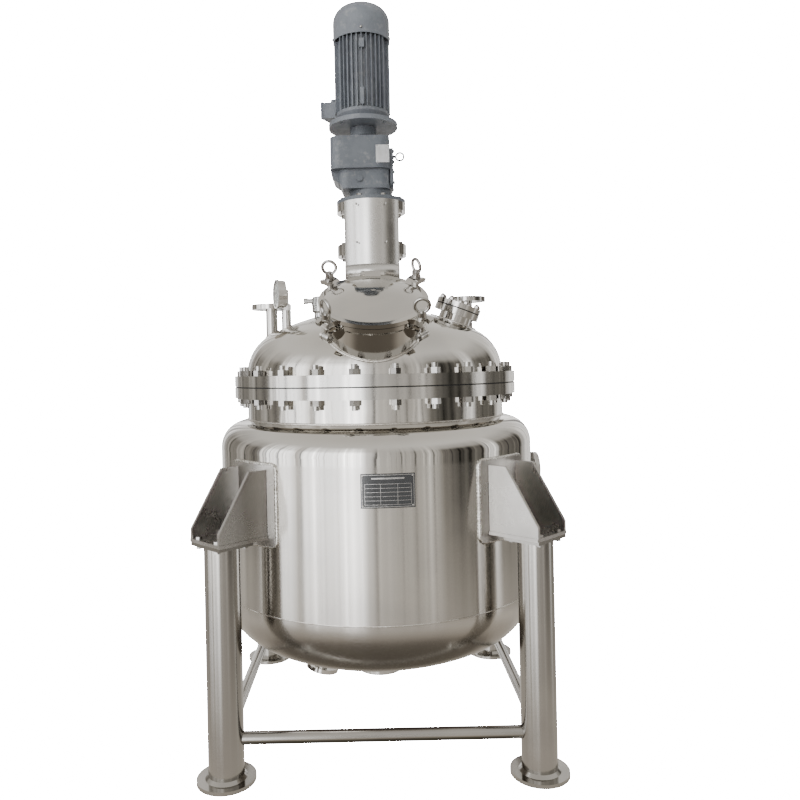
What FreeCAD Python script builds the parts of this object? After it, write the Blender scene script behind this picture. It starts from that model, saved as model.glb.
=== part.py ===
import FreeCAD, Part
import math
import os
import Sketcher

# High-pressure reactor: a jacketed steel vessel on four legs, with a domed bolted cover,
# a slanted manhole, nozzles, and an agitator drive of lantern, gear reducer and motor.
# Millimetres. +Z is up, the origin is on the floor under the vessel axis, the front is -Y.

Vector = FreeCAD.Vector
Rotation = FreeCAD.Rotation
Placement = FreeCAD.Placement

# Driving dimensions. Levels are above the floor, angles in degrees, the rest in millimetres.
SIZES = {
    # fits
    "seam_gap": 0.2,
    "running_gap": 0.05,
    "bolt_gap": 1,
    # vessel and its body flanges
    "gasket_level": 1165,
    "gasket_thickness": 4,
    "vessel_radius": 456,
    "vessel_wall": 6,
    "crown_ratio": 1.81,
    "knuckle_ratio": 0.346,
    "vessel_tangent_level": 515,
    "body_flange_width": 44,
    "body_flange_thickness": 36,
    "body_gasket_inset": 3,
    "cover_skirt": 5,
    "cover_wall": 8,
    "stud_inset": 25,
    "stud_radius": 10,
    "stud_count": 24,
    "stud_reach": 14,
    "nut_flats": 30,
    "nut_height": 18,
    # heating jacket
    "jacket_space": 94,
    "jacket_wall": 5,
    "jacket_tangent_level": 475,
    "jacket_neck_level": 1053,
    "shoulder_slope": 15,
    "shoulder_corner": 88,
    # support lugs, legs and cross tubes
    "leg_standoff": 114,
    "leg_radius": 54,
    "leg_wall": 4,
    "foot_radius": 89,
    "foot_thickness": 12,
    "foot_weld": 9,
    "cap_thickness": 10,
    "cap_width": 150,
    "cap_length": 120,
    "lug_level": 712,
    "lug_plate_thickness": 10,
    "lug_plate_width": 160,
    "gusset_height": 200,
    "gusset_thickness": 10,
    "gusset_spread": 72,
    "gusset_top_width": 65,
    "gusset_edge": 31,
    "pad_thickness": 8,
    "pad_angle": 22,
    "pad_drop": 22,
    "pad_rise": 14,
    "lug_bolt_circle": 68,
    "lug_bolt_radius": 6,
    "lug_bolt_flats": 18,
    "lug_bolt_head": 8,
    "cross_tube_level": 124,
    "cross_tube_radius": 19,
    "cross_tube_wall": 3,
    # manhole, measured along and from its own slanted axis
    "manhole_tilt": 32,
    "manhole_inset": 82.4,
    "manhole_rise": 260,
    "manhole_radius": 162.5,
    "manhole_wall": 8,
    "manhole_rim_radius": 169,
    "manhole_rim_height": 14,
    "manhole_neck_length": 215,
    "manhole_gasket_thickness": 4,
    "manhole_cover_radius": 173,
    "manhole_cover_edge": 13,
    "manhole_cover_bulge": 32,
    "manhole_cover_wall": 8,
    "swing_circle": 200,
    "swing_pivot_drop": 35,
    "swing_bolt_radius": 8,
    "swing_eye_radius": 15,
    "swing_eye_width": 18,
    "swing_washer_radius": 16,
    "swing_washer_thickness": 4,
    "swing_travel": 90,
    "eye_nut_radius": 14,
    "eye_nut_height": 17,
    "eye_ring_radius": 22,
    "eye_ring_wire": 5.5,
    "ear_reach": 57,
    "ear_thickness": 15,
    "ear_width": 46,
    "ear_inner_angle": 33,
    "ear_outer_angle": 26,
    "lug_cheek": 8,
    "lug_nose": 16,
    "pivot_pin_radius": 7,
    "hinge_circle": 192,
    "hinge_pin_radius": 7,
    "hinge_pin_height": 11,
    "hinge_knuckle_radius": 13,
    "hinge_knuckle_width": 24,
    "hinge_width": 76,
    # agitator drive: nozzle, lantern, seal, shaft
    "drive_flange_radius": 125,
    "drive_nozzle_radius": 95,
    "drive_nozzle_wall": 8,
    "drive_nozzle_rise": 481,
    "drive_flange_thickness": 20,
    "lantern_radius": 92,
    "lantern_wall": 6,
    "lantern_tube_length": 118,
    "lantern_top_thickness": 30,
    "lantern_window_width": 120,
    "lantern_window_height": 84,
    "lantern_bolt_circle": 107.5,
    "lantern_bolt_radius": 6,
    "lantern_bolt_flats": 18,
    "lantern_bolt_head": 8,
    "guard_thickness": 2,
    "guard_angle": 98,
    "guard_drop": 40,
    "seal_foot_radius": 66,
    "seal_radius": 46,
    "seal_height": 44,
    "shaft_radius": 22,
    "shaft_bottom_level": 398,
    "shaft_socket": 46,
    "coupling_radius": 52,
    "coupling_height": 60,
    "impeller_radius": 185,
    "impeller_hub_radius": 36,
    "impeller_hub_height": 60,
    "impeller_blade_height": 50,
    "impeller_blade_thickness": 6,
    "lower_impeller_level": 420,
    "upper_impeller_level": 760,
    # gear reducer
    "reducer_flange_thickness": 13,
    "reducer_hub_radius": 78,
    "reducer_hub_height": 33,
    "reducer_right": 70,
    "reducer_lower_left": 115,
    "reducer_lower_depth": 80,
    "reducer_lower_height": 68,
    "reducer_upper_left": 142,
    "reducer_upper_depth": 95,
    "reducer_upper_height": 89,
    "reducer_corner": 34,
    "reducer_jaw_height": 43,
    "reducer_jaw_depth": 56,
    "reducer_heel_height": 34,
    "reducer_heel_width": 18,
    "side_cover_thickness": 12,
    "side_cover_depth": 66,
    "side_cover_margin": 9,
    "top_cover_thickness": 25,
    "top_cone_height": 18,
    "top_cone_radius": 82,
    "adapter_radius": 48,
    "adapter_height": 32,
    "oil_plug_radius": 12,
    "oil_plug_height": 6,
    "oil_plug_left": 39,
    "eyebolt_ring_radius": 14.5,
    "eyebolt_wire": 3.5,
    "eyebolt_reach": 26,
    "eyebolt_tilt": 35,
    # motor
    "motor_offset": 23,
    "motor_flange_radius": 125,
    "motor_flange_thickness": 16,
    "motor_bolt_circle": 107.5,
    "motor_bolt_hole": 7,
    "end_shield_height": 37,
    "end_shield_radius": 96,
    "frame_radius": 88,
    "frame_height": 256,
    "fin_radius": 100.5,
    "fin_thickness": 3,
    "fin_pitch": 10,
    "fin_count": 11,
    "side_band_angle": 34,
    "cowl_radius": 103,
    "cowl_wall": 2,
    "cowl_skirt": 70,
    "cowl_dome": 59,
    "cowl_crown_radius": 46,
    "cowl_slot_count": 12,
    "cowl_slot_width": 7,
    "rotor_radius": 55,
    "rotor_gap": 1,
    "rotor_length": 200,
    "motor_shaft_radius": 14,
    "fan_radius": 92,
    "fan_hub_radius": 26,
    "fan_height": 34,
    "fan_blade_thickness": 4,
    "terminal_box_reach": 152,
    "terminal_box_width": 96,
    "terminal_box_height": 58,
    "terminal_box_lid": 10,
    "terminal_box_azimuth": 150,
    "gland_radius": 11,
    "gland_height": 20,
    # flanged pipe nozzles
    "pipe_radius": 21,
    "pipe_wall": 3.5,
    "pipe_flange_radius": 70,
    "pipe_flange_thickness": 18,
    "pipe_bolt_circle": 50,
    "pipe_bolt_hole": 9,
    "gas_nozzle_inset": 92,
    "gas_nozzle_forward": 40,
    "gas_nozzle_rise": 292,
    "vapour_nozzle_inset": 103,
    "vapour_nozzle_back": 100,
    "vapour_nozzle_rise": 318,
    "small_pipe_radius": 17,
    "small_pipe_length": 130,
    "small_flange_radius": 57.5,
    "small_flange_thickness": 16,
    "small_bolt_circle": 42.5,
    "small_bolt_hole": 7,
    "side_nozzle_azimuth": 4,
    "side_nozzle_reach": 42,
    "side_nozzle_drop": 320,
    "drain_nozzle_azimuth": 187,
    "drain_nozzle_radius": 212,
    "drain_nozzle_tilt": 13,
    "drain_nozzle_length": 66,
    "outlet_radius": 28.5,
    "outlet_flange_radius": 82.5,
    "outlet_flange_thickness": 20,
    "outlet_bolt_circle": 62.5,
    "outlet_bolt_hole": 9,
    "outlet_level": 140,
    # pressure gauge
    "gauge_inset": 157,
    "gauge_forward": 150,
    "gauge_azimuth": 200,
    "gauge_rise": 318,
    "gauge_radius": 50,
    "gauge_depth": 28,
    "gauge_wall": 3,
    "gauge_offset": 15,
    "gauge_boss_radius": 16.5,
    "gauge_boss_height": 44,
    "gauge_stem_radius": 6,
    "gauge_nut_flats": 24,
    "pointer_length": 34,
    "pointer_width": 5,
    "pointer_hub_radius": 5,
    "pointer_pin_radius": 2,
    # vent valve
    "vent_left": 192,
    "vent_forward": 40,
    "vent_rise": 318,
    "vent_height": 70,
    "vent_radius": 27,
    "vent_neck_radius": 20,
    "vent_port_radius": 9,
    "vent_port_length": 30,
    # sight glass
    "sight_inset": 156,
    "sight_forward": 60,
    "sight_tilt": 21,
    "sight_rise": 262,
    "sight_radius": 80,
    "sight_bore": 42,
    "sight_neck_radius": 56,
    "sight_neck_length": 60,
    "sight_base_thickness": 22,
    "sight_ring_thickness": 17,
    "sight_disc_radius": 56,
    "sight_disc_thickness": 12,
    "sight_gasket_thickness": 4,
    "sight_gasket_inset": 1,
}

FULL_TURN = 360
QUADRANTS = (225, 315, 45, 135)
CORNER_NAMES = ("front_left", "front_right", "rear_right", "rear_left")


class Size:
    """A dimension that knows its number now and the sheet formula that it comes from."""

    def __init__(self, value, text):
        self.value = float(value)
        self.text = text

    def __add__(self, other):
        other = as_size(other)
        return Size(self.value + other.value, f"({self.text} + {other.text})")

    def __sub__(self, other):
        other = as_size(other)
        return Size(self.value - other.value, f"({self.text} - {other.text})")

    def __mul__(self, other):
        other = as_size(other)
        return Size(self.value * other.value, f"{self.text} * {other.text}")

    def __truediv__(self, other):
        other = as_size(other)
        return Size(self.value / other.value, f"{self.text} / ({other.text})")

    def __neg__(self):
        return Size(-self.value, f"(0 - {self.text})")

    def __radd__(self, other):
        return as_size(other) + self

    def __rsub__(self, other):
        return as_size(other) - self

    def __rmul__(self, other):
        return as_size(other) * self


def as_size(thing):
    """Any number as a Size."""
    if isinstance(thing, Size):
        return thing
    return Size(thing, f"({float(thing)!r})")


def root(thing):
    return Size(math.sqrt(thing.value), f"sqrt({thing.text})")


def sine(angle):
    angle = as_size(angle)
    return Size(math.sin(math.radians(angle.value)), f"sin({angle.text})")


def cosine(angle):
    angle = as_size(angle)
    return Size(math.cos(math.radians(angle.value)), f"cos({angle.text})")


def tangent(angle):
    angle = as_size(angle)
    return Size(math.tan(math.radians(angle.value)), f"tan({angle.text})")


class Sheet:
    """The driving dimensions as attributes, each one a Size bound to its cell."""

    def __init__(self, document):
        cells = document.addObject("Spreadsheet::Sheet", "Sizes")
        for row, (name, value) in enumerate(SIZES.items(), start=1):
            cells.set(f"A{row}", name)
            cells.set(f"B{row}", str(value))
            cells.setAlias(f"B{row}", name)
            setattr(self, name, Size(value, f"Sizes.{name}"))


doc = FreeCAD.newDocument("Reactor")
d = Sheet(doc)
doc.recompute()
nodes = {}


# Placing and binding

def bind(thing, **properties):
    """Bind properties of an object to the sheet."""
    for name, wanted in properties.items():
        thing.setExpression(name, as_size(wanted).text)
    return thing


def put(thing, x=0, y=0, z=0):
    """Move an object, with each coordinate bound to the sheet."""
    x, y, z = as_size(x), as_size(y), as_size(z)
    thing.Placement = Placement(Vector(x.value, y.value, z.value), Rotation())
    for axis, wanted in (("x", x), ("y", y), ("z", z)):
        thing.setExpression("Placement.Base." + axis, wanted.text)
    return thing


def spot(x=0, y=0, z=0, axis=(0, 0, 1), angle=0):
    """A placement from sizes: a turn about an axis, then a move."""
    values = [as_size(item).value for item in (x, y, z)]
    return Placement(Vector(*values), Rotation(Vector(*axis), as_size(angle).value))


def settle(thing, placement):
    """Place an object as given, without any binding of its coordinates."""
    for axis in ("x", "y", "z"):
        thing.setExpression("Placement.Base." + axis, None)
    thing.Placement = placement
    return thing


def move(thing, placement):
    """Carry an object that already has a place of its own by a further placement."""
    return settle(thing, placement.multiply(thing.Placement))


def node(name, thing):
    """Register an object as one sub-part."""
    thing.Label = name
    nodes[name] = thing
    return thing


# Sketches

def origin_feature(body, role):
    return [item for item in body.Origin.OriginFeatures if item.Role == role][0]


def new_body(name):
    body = doc.addObject("PartDesign::Body", name)
    body.AllowCompound = True
    return body


def new_sketch(body, role, name, offset=0):
    """A sketch on one of the body's own planes, moved along the plane's normal."""
    sketch = body.newObject("Sketcher::SketchObject", name)
    sketch.AttachmentSupport = [(origin_feature(body, role), "")]
    sketch.MapMode = "FlatFace"
    offset = as_size(offset)
    sketch.AttachmentOffset = Placement(Vector(0, 0, offset.value), Rotation())
    sketch.setExpression("AttachmentOffset.Base.z", offset.text)
    return sketch


def fix_point(sketch, item, point, x, y):
    """Hold one point of a sketch at two sizes, or on an axis where one is nought."""
    for kind, wanted, axis in (("DistanceX", x, -2), ("DistanceY", y, -1)):
        wanted = as_size(wanted)
        if wanted.value == 0:
            sketch.addConstraint(Sketcher.Constraint("PointOnObject", item, point, axis))
            continue
        index = sketch.addConstraint(
            Sketcher.Constraint(kind, -1, 1, item, point, wanted.value))
        sketch.setExpression(f"Constraints[{index}]", wanted.text)


def arc_centre(start, end, radius):
    """Centre of the short arc between two points: on the left where radius is positive."""
    chord = end - start
    height = math.sqrt(max(radius * radius - chord.Length ** 2 / 4, 0))
    left = Vector(-chord.y, chord.x, 0).normalize()
    return (start + end) * 0.5 + left * math.copysign(height, radius)


def add_edge(sketch, start, end, bend):
    """A line, or an arc where bend is a radius. Gives its index and its two end numbers."""
    if bend is None:
        return sketch.addGeometry(Part.LineSegment(start, end)), 1, 2
    centre = arc_centre(start, end, bend.value)
    first, last = (start, end) if bend.value > 0 else (end, start)
    angles = [math.atan2(p.y - centre.y, p.x - centre.x) for p in (first, last)]
    if angles[1] < angles[0]:
        angles[1] += 2 * math.pi
    circle = Part.Circle(centre, Vector(0, 0, 1), abs(bend.value))
    item = sketch.addGeometry(Part.ArcOfCircle(circle, *angles))
    index = sketch.addConstraint(Sketcher.Constraint("Radius", item, abs(bend.value)))
    formula = bend.text if bend.value > 0 else (-bend).text
    sketch.setExpression(f"Constraints[{index}]", formula)
    return (item, 1, 2) if bend.value > 0 else (item, 2, 1)


def outline(sketch, corners):
    """Draw a closed outline. A corner is (x, y), or (x, y, radius) where an arc leads to it."""
    spots = [Vector(as_size(c[0]).value, as_size(c[1]).value, 0) for c in corners]
    edges = []
    for index, start in enumerate(spots):
        following = (index + 1) % len(corners)
        corner = corners[following]
        bend = as_size(corner[2]) if len(corner) > 2 else None
        edges.append(add_edge(sketch, start, spots[following], bend))
    for index, (item, first, last) in enumerate(edges):
        after = edges[(index + 1) % len(edges)]
        sketch.addConstraint(Sketcher.Constraint("Coincident", item, last, after[0], after[1]))
    for (item, first, last), corner in zip(edges, corners):
        fix_point(sketch, item, first, corner[0], corner[1])


def circle_at(sketch, radius, x=0, y=0):
    x, y, radius = as_size(x), as_size(y), as_size(radius)
    ring = Part.Circle(Vector(x.value, y.value, 0), Vector(0, 0, 1), radius.value)
    item = sketch.addGeometry(ring)
    index = sketch.addConstraint(Sketcher.Constraint("Radius", item, radius.value))
    sketch.setExpression(f"Constraints[{index}]", radius.text)
    fix_point(sketch, item, 3, x, y)


# Solids from sketches

def turned(name, corners, angle=FULL_TURN):
    """A body turned about the upright axis from its half section of (radius, level) corners."""
    body = new_body(name)
    sketch = new_sketch(body, "XZ_Plane", name + "_section")
    outline(sketch, corners)
    turn = body.newObject("PartDesign::Revolution", name + "_turn")
    turn.Profile = sketch
    turn.ReferenceAxis = (sketch, ["V_Axis"])
    bind(turn, Angle=angle)
    turn.Midplane = as_size(angle).value < FULL_TURN
    return body


def plate(name, corners, height, role="XY_Plane", offset=0, middle=False):
    """A body padded from an outline, from the plane or to both sides of it."""
    body = new_body(name)
    sketch = new_sketch(body, role, name + "_outline", offset)
    outline(sketch, corners)
    pad = body.newObject("PartDesign::Pad", name + "_pad")
    pad.Profile = sketch
    bind(pad, Length=height)
    pad.Midplane = middle
    return body


def drill(body, name, radius, circle, count, first_angle=0):
    """Holes through a body on a circle round its own upright axis."""
    doc.recompute()
    sketch = new_sketch(body, "XY_Plane", name + "_place")
    circle_at(sketch, radius, circle * cosine(first_angle), circle * sine(first_angle))
    hole = body.newObject("PartDesign::Pocket", name + "_hole")
    hole.Profile = sketch
    hole.Type = "ThroughAll"
    hole.Midplane = True
    return around(body, name, hole, count)


def around(body, name, feature, count):
    """Repeat a feature evenly round the body's upright axis."""
    ring = body.newObject("PartDesign::PolarPattern", name + "_ring")
    ring.Originals = [feature]
    ring.Axis = (origin_feature(body, "Z_Axis"), [""])
    ring.Angle = FULL_TURN
    bind(ring, Occurrences=count)
    body.Tip = ring
    doc.recompute()
    return body


# Primitive solids and booleans

def cylinder(name, radius, height):
    return bind(doc.addObject("Part::Cylinder", name), Radius=radius, Height=height)


def box(name, length, width, height):
    """A box centred on X and Y, standing on its own base plane."""
    block = bind(doc.addObject("Part::Box", name), Length=length, Width=width, Height=height)
    return put(block, -as_size(length) / 2, -as_size(width) / 2)


def prism(name, flats, height):
    """A hexagonal prism, measured across its flats."""
    body = doc.addObject("Part::Prism", name)
    body.Polygon = 6
    return bind(body, Circumradius=flats / math.sqrt(3), Height=height)


def torus(name, radius, wire):
    return bind(doc.addObject("Part::Torus", name), Radius1=radius, Radius2=wire)


def cut(name, base, *tools):
    result = doc.addObject("Part::Cut", name)
    result.Base = base
    result.Tool = tools[0] if len(tools) == 1 else fuse(name + "_tools", *tools)
    return result


def fuse(name, *shapes):
    result = doc.addObject("Part::MultiFuse", name)
    result.Shapes = list(shapes)
    return result


def common(name, *shapes):
    result = doc.addObject("Part::MultiCommon", name)
    result.Shapes = list(shapes)
    return result


def group(name, shapes):
    result = doc.addObject("Part::Compound", name)
    result.Links = list(shapes)
    return result


def pipe(name, radius, bore, low, high):
    """A straight tube about the upright axis."""
    return turned(name, [(bore, low), (radius, low), (radius, high), (bore, high)])


def bolt(name, radius, flats, head, low, high, reach=0):
    """A bolt from low to high grip faces, with a hexagon outside each and a tip past them."""
    shank = put(cylinder(name + "_shank", radius, high - low + 2 * (head + reach)),
                z=low - head - reach)
    lower = put(prism(name + "_lower", flats, head), z=low - head)
    upper = put(prism(name + "_upper", flats, head), z=high)
    return fuse(name, shank, lower, upper)


def bolts_around(name, places, **bolt_sizes):
    """The same bolt at several placements, one group of separate solids."""
    pieces = []
    for number, place in enumerate(places):
        pieces.append(settle(bolt(f"{name}_{number}", **bolt_sizes), place))
    return group(name, pieces)


def circle_spots(circle, count, first_angle=0, x=0, y=0):
    """Placements evenly spaced on a horizontal circle."""
    step = FULL_TURN / as_size(count).value
    angles = [first_angle + step * number for number in range(int(as_size(count).value))]
    return [spot(x + circle * cosine(angle), y + circle * sine(angle)) for angle in angles]


# Dished ends

def dished(radius, crown, knuckle, level, side):
    """Corners of a dished end: knuckle joint and pole. Side is 1 upwards, -1 downwards."""
    span = radius - knuckle
    drop = root((crown - knuckle) * (crown - knuckle) - span * span)
    stretch = crown / (crown - knuckle)
    centre = level - side * drop
    joint = (span * stretch, centre + side * (drop * stretch))
    pole = (0, centre + side * crown)
    return joint, pole


def shell_end(radius, wall, crown, knuckle, level, side):
    """Corners of a dished shell, from its outer edge over the pole to its inner edge."""
    joint, pole = dished(radius, crown, knuckle, level, side)
    inner_joint, inner_pole = dished(
        radius - wall, crown - wall, knuckle - wall, level, side)
    return [
        (radius, level),
        (*joint, side * knuckle),
        (*pole, side * crown),
        inner_pole,
        (*inner_joint, -side * (crown - wall)),
        (radius - wall, level, -side * (knuckle - wall)),
    ]


body_flange_radius = d.vessel_radius + d.body_flange_width
stud_circle = body_flange_radius - d.stud_inset
jacket_radius = d.vessel_radius + d.jacket_space
leg_circle = jacket_radius + d.leg_standoff
vessel_crown = d.vessel_radius * d.crown_ratio
vessel_knuckle = d.vessel_radius * d.knuckle_ratio
jacket_crown = jacket_radius * d.crown_ratio
jacket_knuckle = jacket_radius * d.knuckle_ratio
cover_base = d.gasket_level + d.gasket_thickness
cover_flange_top = cover_base + d.body_flange_thickness
cover_tangent = cover_flange_top + d.cover_skirt
vessel_flange_base = d.gasket_level - d.body_flange_thickness
vessel_bottom = dished(d.vessel_radius, vessel_crown, vessel_knuckle,
                       d.vessel_tangent_level, -1)[1][1]
jacket_bottom = dished(jacket_radius, jacket_crown, jacket_knuckle,
                       d.jacket_tangent_level, -1)[1][1]
vessel_bore = d.vessel_radius - d.vessel_wall


def cover_solid(name):
    """The outside of the domed cover as a full solid, which the nozzles are fitted to."""
    joint, pole = dished(d.vessel_radius, vessel_crown, vessel_knuckle, cover_tangent, 1)
    edge = d.vessel_radius + d.seam_gap
    joint = (joint[0], joint[1] + d.seam_gap)
    return turned(name, [
        (0, cover_flange_top - 2 * d.body_flange_thickness),
        (edge, cover_flange_top - 2 * d.body_flange_thickness),
        (edge, cover_tangent),
        (*joint, vessel_knuckle + d.seam_gap),
        (pole[0], pole[1] + d.seam_gap, vessel_crown + d.seam_gap),
    ])


# Placements of what stands on the cover

def tilted(x, y, z, azimuth, tilt):
    """A placement whose axis leans by tilt towards an azimuth."""
    angle = math.radians(as_size(azimuth).value)
    return spot(x, y, z, (-math.sin(angle), math.cos(angle), 0), tilt)


manhole_place = tilted(0, d.manhole_inset - d.vessel_radius,
                       d.gasket_level + d.manhole_rise, 270, d.manhole_tilt)
gas_place = spot(d.gas_nozzle_inset - d.vessel_radius, -d.gas_nozzle_forward,
                 d.gasket_level + d.gas_nozzle_rise)
vapour_place = spot(d.vessel_radius - d.vapour_nozzle_inset, d.vapour_nozzle_back,
                    d.gasket_level + d.vapour_nozzle_rise)
gauge_place = spot(d.gauge_inset - d.vessel_radius, -d.gauge_forward,
                   d.gasket_level + d.gauge_rise)
vent_place = spot(-d.vent_left, -d.vent_forward, d.gasket_level + d.vent_rise)
sight_right = d.vessel_radius - d.sight_inset
sight_azimuth = math.degrees(math.atan2(-d.sight_forward.value, sight_right.value))
sight_place = tilted(sight_right, -d.sight_forward, d.gasket_level + d.sight_rise,
                     sight_azimuth, d.sight_tilt)
side_reach = jacket_radius + d.side_nozzle_reach
side_place = spot(
    side_reach * cosine(d.side_nozzle_azimuth),
    side_reach * sine(d.side_nozzle_azimuth),
    d.gasket_level - d.side_nozzle_drop).multiply(
        spot(angle=d.side_nozzle_azimuth)).multiply(spot(axis=(0, 1, 0), angle=90))
drain_azimuth = d.drain_nozzle_azimuth
drain_place = tilted(
    d.drain_nozzle_radius * cosine(drain_azimuth),
    d.drain_nozzle_radius * sine(drain_azimuth),
    jacket_bottom - d.drain_nozzle_length + d.drain_nozzle_tilt,
    drain_azimuth, 180 - d.drain_nozzle_tilt)


# Vessel, flanges and jacket

def body_flange(name, low):
    ring = turned(name, [
        (vessel_bore, low),
        (body_flange_radius, low),
        (body_flange_radius, low + d.body_flange_thickness),
        (vessel_bore, low + d.body_flange_thickness),
    ])
    half_step = FULL_TURN / d.stud_count.value / 2
    return drill(ring, name, d.stud_radius + d.bolt_gap, stud_circle, d.stud_count, half_step)


def make_vessel():
    """The pressure shell, open at the top, with the outlet hole in its bottom."""
    corners = [(vessel_bore, vessel_flange_base), (d.vessel_radius, vessel_flange_base)]
    corners += shell_end(d.vessel_radius, d.vessel_wall, vessel_crown, vessel_knuckle,
                         d.vessel_tangent_level, -1)
    shell = turned("vessel_shell", corners)
    hole = put(cylinder("vessel_outlet_hole", d.outlet_radius - d.pipe_wall,
                        d.outlet_radius * 2), z=vessel_bottom - d.outlet_radius)
    node("inner_vessel", cut("inner_vessel", shell, hole))


def make_flanges():
    node("vessel_flange", body_flange("vessel_flange", vessel_flange_base))
    node("cover_flange", body_flange("cover_flange", cover_base))
    rim = body_flange_radius - d.body_gasket_inset
    gasket = turned("body_gasket", [
        (vessel_bore, d.gasket_level),
        (rim, d.gasket_level),
        (rim, cover_base),
        (vessel_bore, cover_base),
    ])
    half_step = FULL_TURN / d.stud_count.value / 2
    drill(gasket, "body_gasket", d.stud_radius + d.bolt_gap, stud_circle, d.stud_count,
          half_step)
    node("body_gasket", gasket)


def make_studs():
    """Twenty-four studs through both flanges, each with a nut above and below."""
    half_step = FULL_TURN / d.stud_count.value / 2
    x, y = stud_circle * cosine(half_step), stud_circle * sine(half_step)
    body = new_body("flange_studs")
    low = vessel_flange_base - d.nut_height - d.stud_reach
    sketch = new_sketch(body, "XY_Plane", "stud_section", low)
    circle_at(sketch, d.stud_radius, x, y)
    stud = body.newObject("PartDesign::Pad", "stud")
    stud.Profile = sketch
    bind(stud, Length=cover_flange_top + d.nut_height + d.stud_reach - low)
    node("flange_studs", around(body, "flange_studs", stud, d.stud_count))
    rows = []
    for name, level in (("upper", cover_flange_top), ("lower", vessel_flange_base - d.nut_height)):
        rows.append(nut_row("nuts_" + name, level, x, y))
    node("flange_nuts", group("flange_nuts", rows))


def nut_row(name, level, x, y):
    """One ring of hexagon nuts, bored for the studs."""
    body = new_body(name)
    sketch = new_sketch(body, "XY_Plane", name + "_section", level)
    corner = d.nut_flats / math.sqrt(3)
    turns = [half * 60 for half in range(6)]
    outline(sketch, [(x + corner * cosine(turn), y + corner * sine(turn)) for turn in turns])
    circle_at(sketch, d.stud_radius + d.seam_gap, x, y)
    pad = body.newObject("PartDesign::Pad", name + "_pad")
    pad.Profile = sketch
    bind(pad, Length=d.nut_height)
    return around(body, name, pad, d.stud_count)


def make_cover():
    """The domed cover, with a hole for every nozzle that stands on it."""
    corners = [(d.vessel_radius - d.cover_wall, cover_flange_top),
               (d.vessel_radius, cover_flange_top)]
    corners += shell_end(d.vessel_radius, d.cover_wall, vessel_crown, vessel_knuckle,
                         cover_tangent, 1)
    dome = turned("cover_dome", corners)
    depth = d.manhole_neck_length
    holes = []
    for name, place, radius in (
            ("manhole", manhole_place, d.manhole_radius - d.manhole_wall),
            ("gas", gas_place, d.pipe_radius - d.pipe_wall),
            ("vapour", vapour_place, d.pipe_radius - d.pipe_wall),
            ("gauge", gauge_place, d.gauge_stem_radius),
            ("vent", vent_place, d.vent_port_radius),
            ("sight", sight_place, d.sight_bore)):
        hole = cylinder(name + "_opening", radius, depth)
        holes.append(settle(hole, place.multiply(spot(z=-depth))))
    drive = put(cylinder("drive_opening", d.drive_nozzle_radius - d.drive_nozzle_wall,
                         d.drive_nozzle_rise), z=cover_tangent)
    node("vessel_cover", cut("vessel_cover", dome, drive, *holes))


def shoulder_corners(inset):
    """The sloping shoulder of the jacket and its round corner, inset by a wall."""
    slope = d.shoulder_slope
    edge = jacket_radius - inset
    neck = d.vessel_radius + d.seam_gap
    bend = d.shoulder_corner - inset
    sharp = d.jacket_neck_level - (jacket_radius - d.vessel_radius) * tangent(slope)
    run = d.shoulder_corner * tangent((90 - slope) / 2)
    drop = inset / cosine(slope)
    return [
        (neck, d.jacket_neck_level - drop),
        (jacket_radius - run * cosine(slope) - inset * sine(slope),
         sharp + run * sine(slope) - inset * cosine(slope)),
        (edge, sharp - run, -bend),
    ]


def make_jacket():
    """The heating jacket: sloped shoulder, straight shell and dished bottom."""
    outer = shoulder_corners(Size(0, "0"))
    inner = shoulder_corners(d.jacket_wall)
    corners = list(outer)
    corners += shell_end(jacket_radius, d.jacket_wall, jacket_crown, jacket_knuckle,
                         d.jacket_tangent_level, -1)
    corners.append(inner[2][:2])
    corners.append((*inner[1], d.shoulder_corner - d.jacket_wall))
    corners.append(inner[0])
    shell = turned("jacket_shell", corners)
    outlet = put(cylinder("jacket_outlet_hole", d.outlet_radius + d.seam_gap,
                          d.outlet_radius * 2), z=jacket_bottom - d.outlet_radius)
    holes = []
    for name, place in (("jacket_side_hole", side_place), ("jacket_drain_hole", drain_place)):
        hole = cylinder(name, d.small_pipe_radius - d.pipe_wall, d.small_pipe_length)
        holes.append(settle(hole, place.multiply(spot(z=-d.small_pipe_length))))
    node("jacket", cut("jacket", shell, outlet, *holes))


# Support frame

def leg_axis(azimuth):
    return spot(leg_circle * cosine(azimuth), leg_circle * sine(azimuth)).multiply(
        spot(angle=azimuth))


def make_leg(name, azimuth):
    """A tube welded between a round foot plate and a rectangular cap plate."""
    cap_level = d.lug_level - d.cap_thickness
    column = turned(name + "_column", [
        (0, 0),
        (d.foot_radius, 0),
        (d.foot_radius, d.foot_thickness),
        (d.leg_radius + d.foot_weld, d.foot_thickness),
        (d.leg_radius, d.foot_thickness + d.foot_weld),
        (d.leg_radius, cap_level),
        (d.leg_radius - d.leg_wall, cap_level),
        (d.leg_radius - d.leg_wall, d.foot_thickness),
        (0, d.foot_thickness),
    ])
    reach, half = d.cap_length / 2, d.cap_width / 2
    cap = plate(name + "_cap", [
        (-reach, -half), (reach, -half), (reach, half), (-reach, half),
    ], d.cap_thickness, offset=cap_level)
    drill(cap, name + "_cap", d.lug_bolt_radius + d.bolt_gap / 2, d.lug_bolt_circle, 4, 45)
    node(name, settle(fuse(name, column, cap), leg_axis(azimuth)))


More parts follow.
